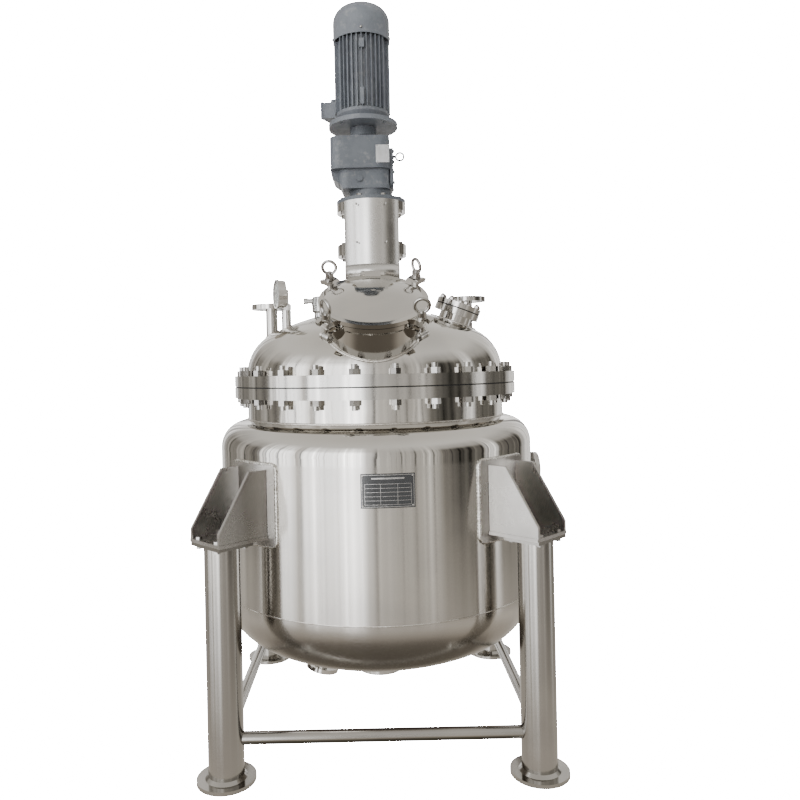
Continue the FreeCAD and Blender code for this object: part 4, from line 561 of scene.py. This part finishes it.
# %% Plates and rubber
bare_plate = new_finish("bare_plate", Metallic=1.0)
drift_colour(bare_plate, 25.0, (0.56, 0.57, 0.58), (0.48, 0.49, 0.50))
haze_polish(bare_plate, 60.0, 0.32, 0.45)
belt_grain(bare_plate, 900.0, 30.0, 3e-5)

black_plate = new_finish("black_plate", Base_Color=(0.022, 0.024, 0.027, 1.0), Coat_Weight=0.6,
                         Coat_Roughness=0.08)
haze_polish(black_plate, 90.0, 0.16, 0.3)

etched_line = new_finish("etched_line", Metallic=1.0)
drift_colour(etched_line, 60.0, (0.62, 0.62, 0.61), (0.45, 0.45, 0.45))
haze_polish(etched_line, 120.0, 0.3, 0.45)

gasket_rubber = new_finish("gasket_rubber", Base_Color=(0.016, 0.016, 0.017, 1.0),
                           Specular_IOR_Level=0.3)
add_bump(gasket_rubber, haze_polish(gasket_rubber, 60.0, 0.55, 0.8), 0.0006, 0.5)
print("finishes so far:", len(bpy.data.materials))

# %% Dial and glass
dial_enamel = new_finish("dial_enamel", Roughness=0.4)
drift_colour(dial_enamel, 30.0, (0.80, 0.80, 0.77), (0.74, 0.74, 0.71))

dial_ink = new_finish("dial_ink", Base_Color=(0.02, 0.02, 0.022, 1.0))
haze_polish(dial_ink, 200.0, 0.4, 0.55)

clear_glass = new_finish("clear_glass", Base_Color=(0.93, 0.97, 0.96, 1.0),
                         Transmission_Weight=1.0, IOR=1.47)
haze_polish(clear_glass, 25.0, 0.0, 0.05)
print("finishes:", len(bpy.data.materials))

# %% [markdown]
# ## Finishes on the CAD pieces
# Each CAD node is one piece, or one kind of piece, of a single finish. A list from finish to
# nodes is short and easy to change. What isn't named in it is a bolt, a nut or a pin, and those
# are all made of the same bright steel.

# %% Give every CAD piece its finish
FINISHES = (
    (mirror_steel, ("vessel_cover", "inner_vessel", "drive_nozzle", "manhole_cover",
                    "manhole_neck")),
    (rolled_steel, ("lantern_guard",)),
    (jacket_steel, ("jacket",)),
    (flange_steel, ("vessel_flange", "cover_flange", "lantern", "gas_nozzle", "vapour_nozzle",
                    "jacket_nozzles", "bottom_outlet", "sight_glass_base", "sight_glass_ring")),
    (plate_steel, ("lug_front_left", "lug_front_right", "lug_rear_left", "lug_rear_right")),
    (leg_steel, ("leg_front_left", "leg_front_right", "leg_rear_left", "leg_rear_right",
                 "cross_tubes")),
    (shaft_steel, ("agitator_shaft", "impellers", "shaft_coupling", "shaft_seal", "motor_rotor",
                   "vent_valve")),
    (gasket_rubber, ("body_gasket", "manhole_gasket", "sight_glass_gasket")),
    (reducer_paint, ("reducer_housing", "reducer_side_cover", "reducer_top_cover", "oil_plug",
                     "reducer_eyebolt")),
    (motor_paint, ("motor_end_shield", "motor_frame", "fan_cowl", "terminal_box",
                   "cooling_fan")),
    (case_steel, ("pressure_gauge",)),
    (dial_ink, ("gauge_pointer",)),
    (clear_glass, ("sight_glass_disc",)),
)
finish_of = {name: material for material, names in FINISHES for name in names}
for name, node in nodes.items():
    node.data.materials.clear()
    node.data.materials.append(finish_of.get(name, bolt_steel))
print("named finishes:", len(finish_of), "bolts, nuts and pins:", len(nodes) - len(finish_of))

# %% [markdown]
# ## Weld beads at the nozzles
# A welder joins each nozzle to the dome with a bead of molten steel, laid in small ripples.
# A torus would be quick, but the root of a pipe on a dome isn't a flat ring: it rises and falls.
# So rays are sent down along the pipe's wall, and the bead runs through the points that they
# hit. Every second ring of the bead is a little thicker, which gives the ripples.

# %% Helpers for places
UP = Vector((0, 0, 1))


def spoke(turn):
    """The level direction at an angle round the vessel's axis."""
    return Vector((math.cos(turn), math.sin(turn), 0))


def leaning(turn, tilt):
    """The upward direction, leaned by a tilt towards an angle."""
    return spoke(turn) * math.sin(tilt) + UP * math.cos(tilt)


def frame_at(place, axis):
    """A matrix at a place, with its Z along an axis."""
    return Matrix.Translation(place) @ Vector(axis).to_track_quat("Z", "Y").to_matrix().to_4x4()


def middle_of(name, level):
    """The middle of a CAD node, seen from above, at a given level."""
    low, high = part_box(name)
    return Vector(((low.x + high.x) / 2, (low.y + high.y) / 2, level))


print("gas nozzle stands at", [round(v, 3) for v in middle_of("gas_nozzle", 0)])

# %% Helpers for roots
def surface_of(name):
    """A searchable copy of a CAD node's surface."""
    node = nodes[name]
    corners = [node.matrix_world @ v.co for v in node.data.vertices]
    return BVHTree.FromPolygons(corners, [p.vertices[:] for p in node.data.polygons])


def draped_loop(surface, place, radius, reach=0.05, count=120):
    """Points where rays, sent down a tube's wall from a reach above, meet a surface."""
    down = -(place.to_3x3() @ UP)
    points = []
    for step in range(count):
        start = place @ (spoke(math.tau * step / count) * radius + UP * reach)
        hit = surface.ray_cast(start, down)[0]
        if hit:
            points.append(hit)
    return points


dome = surface_of("vessel_cover")
shell = surface_of("jacket")
print("surfaces to weld on: vessel_cover, jacket")

# %% Helpers for beads
def edges_of(verts):
    """All edges that touch the given vertices."""
    return list({edge for v in verts for edge in v.link_edges})


def finish_piece(name, bm, material, smooth=True):
    """Close a piece's work: normals, shading, finish and the body that it rides."""
    bmesh.ops.recalc_face_normals(bm, faces=bm.faces)
    for face in bm.faces:
        face.smooth = smooth
    made = link_mesh(name, bm)
    made.data.materials.append(material)
    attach(made, "vessel")


def lay_bead(bm, path, width, ripple=0.12):
    """Bridge small rings along a closed path; the ripple swells every second ring."""
    rings = []
    for step, point in enumerate(path):
        ahead = path[(step + 1) % len(path)]
        ring = bmesh.ops.create_circle(bm, segments=8, radius=width * (1 + ripple * (-1) ** step),
                                       matrix=frame_at(point, ahead - path[step - 1]))
        rings.append(edges_of(ring["verts"]))
    for first, second in zip(rings, rings[1:] + rings[:1]):
        bmesh.ops.bridge_loops(bm, edges=first + second)


print("bead helpers ready")

# %% Beads at the nozzle roots
MANHOLE_PLACE, MANHOLE_TILT = Vector((0, -0.3736, 1.425)), math.radians(32)
SIGHT_PLACE, SIGHT_TILT = Vector((0.300, -0.060, 1.427)), math.radians(21)
GAUGE_PLACE = Vector((-0.299, -0.150, 1.483))
DRAIN_PLACE, DRAIN_TILT = Vector((-0.2086, -0.0256, 0.155)), math.radians(13)
DOME_LEVEL, DRIVE_LEVEL, OUTLET_LEVEL = 1.40, 1.45, 0.167
SIDE_LEVEL, SIDE_REACH = 0.845, 0.60
MANHOLE_AXIS = leaning(math.radians(-90), MANHOLE_TILT)
SIGHT_AXIS = leaning(math.atan2(SIGHT_PLACE.y, SIGHT_PLACE.x), SIGHT_TILT)
SIDE_AXIS = spoke(math.radians(4))
DRAIN_AXIS = -leaning(math.radians(7), DRAIN_TILT)

# Each root: name, surface, place and axis of the tube, the tube's radius, the bead's radius.
ROOTS = (
    ("gas_nozzle_weld", dome, middle_of("gas_nozzle", DOME_LEVEL), UP, 0.0215, 0.0035),
    ("vapour_nozzle_weld", dome, middle_of("vapour_nozzle", DOME_LEVEL), UP, 0.0215, 0.0035),
    ("gauge_boss_weld", dome, Vector((*GAUGE_PLACE.xy, DOME_LEVEL)), UP, 0.017, 0.003),
    ("drive_nozzle_weld", dome, UP * DRIVE_LEVEL, UP, 0.0955, 0.0045),
    ("manhole_weld", dome, MANHOLE_PLACE, MANHOLE_AXIS, 0.1635, 0.0045),
    ("sight_glass_weld", dome, SIGHT_PLACE, SIGHT_AXIS, 0.081, 0.0035),
    ("side_nozzle_weld", shell, SIDE_AXIS * SIDE_REACH + UP * SIDE_LEVEL, SIDE_AXIS, 0.0175,
     0.003),
    ("drain_nozzle_weld", shell, DRAIN_PLACE, DRAIN_AXIS, 0.0175, 0.003),
    ("outlet_weld", shell, UP * OUTLET_LEVEL, -UP, 0.029, 0.0035),
)
for name, surface, place, axis, radius, width in ROOTS:
    path = draped_loop(surface, frame_at(place, axis), radius)
    bm = bmesh.new()
    lay_bead(bm, path, width)
    finish_piece(name, bm, weld_steel)
    print(name, "points:", len(path))

# %% [markdown]
# ## Weld beads on the shell
# The jacket is rolled from sheet, so it has a seam, and its top is welded to the inner vessel.
# Both welds are plain rings on the vessel's own axis, so no rays are needed: a small profile is
# spun round once. The seam was ground until it hardly shows.

# %% Beads round the shell
def spun_bead(name, radius, level, width, height):
    """A low half-round bead, spun round the vessel's axis."""
    bm = bmesh.new()
    ring = bmesh.ops.create_circle(bm, segments=10, radius=width,
                                   matrix=Matrix.Translation((radius, 0, level))
                                   @ Matrix.Rotation(math.pi / 2, 4, "X"))
    bmesh.ops.scale(bm, vec=(height / width, 1, 1), verts=ring["verts"],
                    space=Matrix.Translation((-radius, 0, -level)))
    bmesh.ops.spin(bm, geom=bm.verts[:] + bm.edges[:], cent=(0, 0, 0), axis=UP,
                   angle=math.tau, steps=240, use_merge=True)
    bmesh.ops.remove_doubles(bm, verts=bm.verts, dist=1e-5)
    finish_piece(name, bm, weld_steel)


jacket_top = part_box("jacket")[1].z
SEAM_LEVEL = 0.475
spun_bead("jacket_top_weld", radius=0.4562, level=jacket_top + 0.0005, width=0.0032,
          height=0.0028)
spun_bead("jacket_seam_weld", radius=0.5499, level=SEAM_LEVEL, width=0.0020, height=0.0004)
print("beads round the shell at heights", round(jacket_top, 3), "and", SEAM_LEVEL)

# %% [markdown]
# ## Ground welds round the lug pads
# Each support lug stands on a pad, a curved plate that spreads the load over the thin jacket.
# The weld round it was ground bright. Its outline could be traced on the CAD mesh, but a
# rounded rectangle of angles and heights on the jacket says the same in a few numbers.

# %% Outline of a pad
pad_low, pad_high = (corner.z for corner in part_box("lug_front_left"))
PAD_HALF_TURN = math.radians(11.4)
PAD_CORNER = 0.020
PAD_RADIUS = 0.5515
PAD_MARGIN = 0.002
CORNER_STEPS, BEAD_STEP = 6, 0.006


def pad_outline(middle):
    """A rounded rectangle round a pad, as points on a cylinder."""
    half_width = PAD_HALF_TURN * PAD_RADIUS
    half_height = (pad_high - pad_low) / 2 + PAD_MARGIN
    flat = []
    for sx, sy, first in ((1, 1, 0), (-1, 1, 90), (-1, -1, 180), (1, -1, 270)):
        for step in range(CORNER_STEPS + 1):
            turn = math.radians(first + step * 90 / CORNER_STEPS)
            flat.append((sx * (half_width - PAD_CORNER) + PAD_CORNER * math.cos(turn),
                         sy * (half_height - PAD_CORNER) + PAD_CORNER * math.sin(turn)))
    path = []
    for (x0, y0), (x1, y1) in zip(flat, flat[1:] + flat[:1]):
        count = max(1, round(math.hypot(x1 - x0, y1 - y0) / BEAD_STEP))
        for part in range(count):
            x, y = x0 + (x1 - x0) * part / count, y0 + (y1 - y0) * part / count
            path.append(spoke(middle + x / PAD_RADIUS) * PAD_RADIUS
                        + UP * ((pad_high + pad_low) / 2 + y))
    return path


print("points round a pad:", len(pad_outline(0)))

# %% Ground welds
for corner, degrees in (("front_left", 225), ("front_right", 315), ("rear_right", 45),
                        ("rear_left", 135)):
    bm = bmesh.new()
    lay_bead(bm, pad_outline(math.radians(degrees)), width=0.0052, ripple=0.18)
    finish_piece("pad_weld_" + corner, bm, ground_weld)
print("pad welds: 4")

# %% [markdown]
# ## Plates
# The plate on the jacket is a thin sheet, bent to the jacket's curve and held by four rivets.
# Its fields are only ruled, with nothing written in them. A flat sheet could be bent with a
# modifier, but a helper that bends each corner by its angle also makes the ruled lines, and the
# lantern's guard later on. A second small plate, bright and bare, sits on the reducer.

# %% Nameplate
def bent_sheet(bm, size, radii, columns, centre_x, centre_z):
    """A sheet between two radii, bent round the vessel's axis at its front."""
    inner, outer = radii
    sheet = bmesh.ops.create_grid(bm, x_segments=columns, y_segments=1, size=0.5,
                                  matrix=Matrix.Diagonal((*size, 1, 1)))
    faces = list({face for v in sheet["verts"] for face in v.link_faces})
    extruded = bmesh.ops.extrude_face_region(bm, geom=faces)["geom"]
    raised = {v for v in extruded if isinstance(v, bmesh.types.BMVert)}
    for v in list(sheet["verts"]) + list(raised):
        turn = math.radians(-90) + (centre_x + v.co.x) / outer
        v.co = spoke(turn) * (outer if v in raised else inner) + UP * (centre_z + v.co.y)


PLATE_X, PLATE_Z = 0.030, 0.868
PLATE_SIZE = (0.160, 0.100)
PLATE_FOOT, PLATE_TOP = 0.5503, 0.5518
bm = bmesh.new()
bent_sheet(bm, PLATE_SIZE, (PLATE_FOOT, PLATE_TOP), 24, PLATE_X, PLATE_Z)
finish_piece("nameplate", bm, black_plate, smooth=False)
print("nameplate in metres:", PLATE_SIZE)

# %% Ruled lines
# Each line is its middle on the plate, then its width and height.
FINE, HEADING, BORDER = 0.0010, 0.0045, 0.0014
ROW_WIDTH, BORDER_WIDTH, BORDER_HEIGHT = 0.136, 0.152, 0.092
RULE_RADII = (PLATE_TOP + 0.00005, PLATE_TOP + 0.0003)
COLUMN_WIDTH = 0.012
rules = [(0, y, ROW_WIDTH, FINE) for y in (0.020, 0.008, -0.004, -0.016, -0.028, -0.040)]
rules += [(x, -0.010, FINE, 0.060) for x in (-0.068, -0.022, 0.028, 0.068)]
rules += [(0, 0.036, 0.096, HEADING)]
rules += [(0, y, BORDER_WIDTH, BORDER) for y in (0.046, -0.046)]
rules += [(x, 0, BORDER, BORDER_HEIGHT) for x in (-0.076, 0.076)]
bm = bmesh.new()
for x, y, width, height in rules:
    columns = max(1, round(width / COLUMN_WIDTH))
    bent_sheet(bm, (width, height), RULE_RADII, columns, PLATE_X + x, PLATE_Z + y)
finish_piece("nameplate_rules", bm, etched_line, smooth=False)
print("ruled lines:", len(rules))

# %% Rivets of the nameplate
def flat_ball(bm, place, radius, squash, segments=14, rows=8):
    """A ball squashed by three factors, for rivets and round heads."""
    bmesh.ops.create_uvsphere(bm, u_segments=segments, v_segments=rows, radius=radius,
                              matrix=place @ Matrix.Diagonal((*squash, 1)))


RIVET_X, RIVET_Z, RIVET_RADIUS = 0.073, 0.043, 0.0026
bm = bmesh.new()
for x in (-RIVET_X, RIVET_X):
    for z in (-RIVET_Z, RIVET_Z):
        out = spoke(math.radians(-90) + (PLATE_X + x) / PLATE_TOP)
        flat_ball(bm, frame_at(out * PLATE_TOP + UP * (PLATE_Z + z), out), RIVET_RADIUS,
                  (1, 1, 0.5))
finish_piece("nameplate_rivets", bm, bolt_steel)
print("nameplate rivets: 4")

# %% Reducer plate
def bevelled_box(bm, low, high, edge):
    """A box between two corners, with its edges rounded."""
    made = bmesh.ops.create_cube(bm, size=1.0, matrix=Matrix.Translation((low + high) / 2)
                                 @ Matrix.Diagonal((*(high - low), 1)))
    bmesh.ops.bevel(bm, geom=edges_of(made["verts"]), offset=edge, segments=2, profile=0.5,
                    affect="EDGES", material=-1)


SMALL_LEFT, SMALL_RIGHT, SMALL_FOOT, SMALL_TOP = 0.020, 0.066, 1.936, 1.998
SMALL_THICK, SMALL_RIVET_INSET, SMALL_RIVET_RADIUS = 0.0014, 0.004, 0.0018
reducer_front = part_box("reducer_housing")[0].y
plate_front = reducer_front - SMALL_THICK
bm = bmesh.new()
bevelled_box(bm, Vector((SMALL_LEFT, plate_front, SMALL_FOOT)),
             Vector((SMALL_RIGHT, reducer_front - 0.0001, SMALL_TOP)), 0.0005)
finish_piece("reducer_plate", bm, bare_plate, smooth=False)

bm = bmesh.new()
for x in (SMALL_LEFT + SMALL_RIVET_INSET, SMALL_RIGHT - SMALL_RIVET_INSET):
    for z in (SMALL_FOOT + SMALL_RIVET_INSET, SMALL_TOP - SMALL_RIVET_INSET):
        flat_ball(bm, Matrix.Translation((x, plate_front, z)), SMALL_RIVET_RADIUS, (1, 0.5, 1),
                  segments=12)
finish_piece("reducer_plate_rivets", bm, bolt_steel)
print("reducer plate on face y =", round(reducer_front, 4))

# %% [markdown]
# ## Screws and nuts
# Rows of small fasteners hold the sight glass, the reducer's side cover, the fan's cowl and the
# lantern's guard. A texture could hint at them, but they catch the light and break the outline,
# so each one is a real shape. One small function makes a hexagon head with its worn edges, and
# another puts a domed cap on it, which makes an acorn nut.

# %% Hexagon heads and acorn nuts
def hexagon_head(bm, place, flats, height):
    """A hexagon head whose edges are turned down a little."""
    made = bmesh.ops.create_cone(bm, cap_ends=True, segments=6, radius1=flats / math.sqrt(3),
                                 radius2=flats / math.sqrt(3), depth=height,
                                 matrix=place @ Matrix.Translation(UP * height / 2))
    bmesh.ops.bevel(bm, geom=edges_of(made["verts"]), offset=height * 0.10, segments=2,
                    profile=0.5, affect="EDGES", material=-1)


def acorn_nut(bm, place, flats, height):
    """A hexagon nut with a domed cap."""
    hexagon_head(bm, place, flats, height)
    flat_ball(bm, place @ Matrix.Translation(UP * height), flats * 0.46, (1, 1, 0.85), 16, 10)


SIGHT_NUTS, SIGHT_NUT_CIRCLE, SIGHT_NUT_LEVEL = 8, 0.0681, 0.0211
sight = frame_at(SIGHT_PLACE, SIGHT_AXIS)
bm = bmesh.new()
for step in range(SIGHT_NUTS):
    turn = math.tau * (step + 0.5) / SIGHT_NUTS
    spot = Matrix.Translation(spoke(turn) * SIGHT_NUT_CIRCLE + UP * SIGHT_NUT_LEVEL)
    acorn_nut(bm, sight @ spot, flats=0.017, height=0.009)
finish_piece("sight_glass_nuts", bm, bolt_steel, smooth=False)
print("acorn nuts on the sight glass:", SIGHT_NUTS)

# %% Screws of the side cover
side_low, side_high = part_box("reducer_side_cover")
SIDE_SCREW_Y, SIDE_SHARES = 0.054, (0.1, 0.37, 0.63, 0.9)
bm = bmesh.new()
for y in (-SIDE_SCREW_Y, SIDE_SCREW_Y):
    for share in SIDE_SHARES:
        place = Vector((side_high.x, y, side_low.z + (side_high.z - side_low.z) * share))
        hexagon_head(bm, frame_at(place, (1, 0, 0)), flats=0.010, height=0.005)
finish_piece("side_cover_screws", bm, reducer_paint, smooth=False)
print("side cover screws:", 2 * len(SIDE_SHARES))

# %% Screws of the fan's cowl
cowl_low, cowl_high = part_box("fan_cowl")
cowl_radius = (cowl_high.x - cowl_low.x) / 2
SCREW_HEIGHT, SCREW_LIFT, SCREW_OVER_RIM = 0.0036, 0.0017, 0.018
bm = bmesh.new()
for degrees in (-90, 0, 90, 180):
    out = spoke(math.radians(degrees))
    place = (middle_of("fan_cowl", cowl_low.z + SCREW_OVER_RIM)
             + out * (cowl_radius + SCREW_LIFT))
    bmesh.ops.create_cone(bm, cap_ends=True, segments=20, radius1=0.0052, radius2=0.0036,
                          depth=SCREW_HEIGHT, matrix=frame_at(place, out))
finish_piece("cowl_screws", bm, bolt_steel)
print("cowl screws: 4")

# %% [markdown]
# ## The lantern's guard
# A curved sheet in front of the lantern keeps hands away from the turning coupling. The real
# sheet reaches lower than the CAD piece, so a strip of the same curve and steel is added below
# it. The strip has the guard's own radius and spans the same angle, so no step shows.

# %% Lower strip of the guard
guard_low, guard_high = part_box("lantern_guard")
SKIRT_DROP, SKIRT_THICK = 0.048, 0.0015
guard_radius = -guard_low.y
guard_half_turn = math.atan2(guard_high.x, -guard_high.y)
bm = bmesh.new()
bent_sheet(bm, (2 * guard_half_turn * guard_radius, SKIRT_DROP),
           (guard_radius - SKIRT_THICK, guard_radius), 32, 0, guard_low.z - SKIRT_DROP / 2)
finish_piece("guard_skirt", bm, rolled_steel)
print("the guard spans", round(math.degrees(2 * guard_half_turn)), "degrees")

# %% Screws of the guard
GUARD_SCREW_X, GUARD_SCREW_RADIUS = 0.052, 0.004
GUARD_SCREW_LEVELS = (guard_low.z + 0.075, guard_high.z - 0.020)
bm = bmesh.new()
for x in (-GUARD_SCREW_X, GUARD_SCREW_X):
    for z in GUARD_SCREW_LEVELS:
        flat_ball(bm, Matrix.Translation((x, guard_low.y, z)), GUARD_SCREW_RADIUS, (1, 0.5, 1))
finish_piece("guard_screws", bm, bolt_steel)
print("guard screws: 4")

# %% [markdown]
# ## Bosses on the motor
# Between the cooling fins a motor's casting has a few thick bosses, drilled for feet or for an
# eyebolt. They are plain blocks with soft cast edges, so a bevelled box does for each of them.
# They reach a little way into the frame, as cast metal does.

# %% Bosses between the motor's fins
frame_low, frame_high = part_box("motor_frame")
front = frame_low.y
BOSS_ROOT = 0.016
# Each boss: left and right side, foot and top, how far it stands out, how round its edges are.
BOSSES = (
    (-0.031, -0.013, frame_high.z - 0.052, frame_high.z - 0.020, 0.001, 0.002),
    (-0.030, -0.016, frame_low.z + 0.004, frame_low.z + 0.064, 0.002, 0.003),
)
bm = bmesh.new()
for left, right, foot, top, proud, edge in BOSSES:
    bevelled_box(bm, Vector((left, front - proud, foot)),
                 Vector((right, front + BOSS_ROOT, top)), edge)
finish_piece("motor_bosses", bm, motor_paint, smooth=False)
print("motor bosses:", len(BOSSES))

# %% [markdown]
# ## The gauge's dial
# The dial is white enamel with a black scale. It could be painted on with a texture, but a
# texture blurs when the camera comes close, so every mark is a thin flat block. The scale runs
# clockwise over three quarters of a turn and starts where the needle rests. The numbers are
# text, turned into mesh before they are placed. A glass disc closes the case.

# %% Dial face
GAUGE_TURN = math.radians(200)
DIAL_LEVEL, DIAL_RADIUS, DIAL_THICK = 0.0137, 0.0436, 0.0006
dial_out = spoke(GAUGE_TURN)
dial_right = UP.cross(dial_out)
face = Matrix.Translation(GAUGE_PLACE) @ Matrix((dial_right, UP, dial_out)).transposed().to_4x4()


def dial_disc(name, level, thickness, material):
    """A disc that fills the gauge's case at a level above its middle."""
    bm = bmesh.new()
    bmesh.ops.create_cone(bm, cap_ends=True, segments=96, radius1=DIAL_RADIUS,
                          radius2=DIAL_RADIUS, depth=thickness,
                          matrix=face @ Matrix.Translation(UP * level))
    finish_piece(name, bm, material, smooth=False)


dial_disc("dial_face", DIAL_LEVEL + DIAL_THICK / 2, DIAL_THICK, dial_enamel)
print("dial across in metres:", 2 * DIAL_RADIUS)

# %% Dial scale
SCALE_START, SCALE_SWEEP = math.radians(5), math.radians(270)
SCALE_RADIUS = 0.0405
INK_LEVEL, INK_THICK = DIAL_LEVEL + 0.0007, 0.0001
MARKS, ARC_STEPS = 50, 100
LONG, MIDDLE, SHORT = 0.0065, 0.0048, 0.003
BROAD, THIN = 0.0010, 0.0005


def dial_turn(share):
    """The angle of a reading: share runs from 0 at the scale's start to 1 at its end."""
    return SCALE_START - SCALE_SWEEP * share


def ink_block(bm, share, radius, length, width):
    """A flat block of ink, its length pointing outwards."""
    bmesh.ops.create_cube(bm, size=1.0, matrix=face @ Matrix.Rotation(dial_turn(share), 4, "Z")
                          @ Matrix.Translation((radius, 0, INK_LEVEL))
                          @ Matrix.Diagonal((length, width, INK_THICK, 1)))


bm = bmesh.new()
for step in range(MARKS + 1):
    length = LONG if step % 10 == 0 else MIDDLE if step % 5 == 0 else SHORT
    width = BROAD if step % 10 == 0 else THIN
    ink_block(bm, step / MARKS, SCALE_RADIUS - length / 2, length, width)
for step in range(ARC_STEPS):
    ink_block(bm, (step + 0.5) / ARC_STEPS, SCALE_RADIUS, length=THIN, width=0.0021)
finish_piece("dial_scale", bm, dial_ink, smooth=False)
print("marks on the scale:", MARKS + 1)

# %% Dial numbers
NUMBER_STEPS, NUMBER_RADIUS, NUMBER_SIZE = 5, 0.0290, 0.0085
for step in range(NUMBER_STEPS + 1):
    text = bpy.data.curves.new("number", "FONT")
    text.body = str(step * 2)
    text.size = NUMBER_SIZE
    text.extrude = 0.00005
    text.align_x, text.align_y = "CENTER", "CENTER"
    holder = bpy.data.objects.new("number", text)
    mesh = bpy.data.meshes.new_from_object(holder)
    bpy.data.objects.remove(holder)
    spot = spoke(dial_turn(step / NUMBER_STEPS)) * NUMBER_RADIUS + UP * INK_LEVEL
    mesh.transform(face @ Matrix.Translation(spot))
    bm = bmesh.new()
    bm.from_mesh(mesh)
    bpy.data.meshes.remove(mesh)
    finish_piece("dial_number_%d" % (step * 2), bm, dial_ink, smooth=False)
print("numbers from 0 to", NUMBER_STEPS * 2)

# %% Dial glass
GLASS_LEVEL, GLASS_THICK = 0.0320, 0.002
dial_disc("dial_glass", GLASS_LEVEL, GLASS_THICK, clear_glass)
print("glass in front of the dial by", round(GLASS_LEVEL - INK_LEVEL, 4))
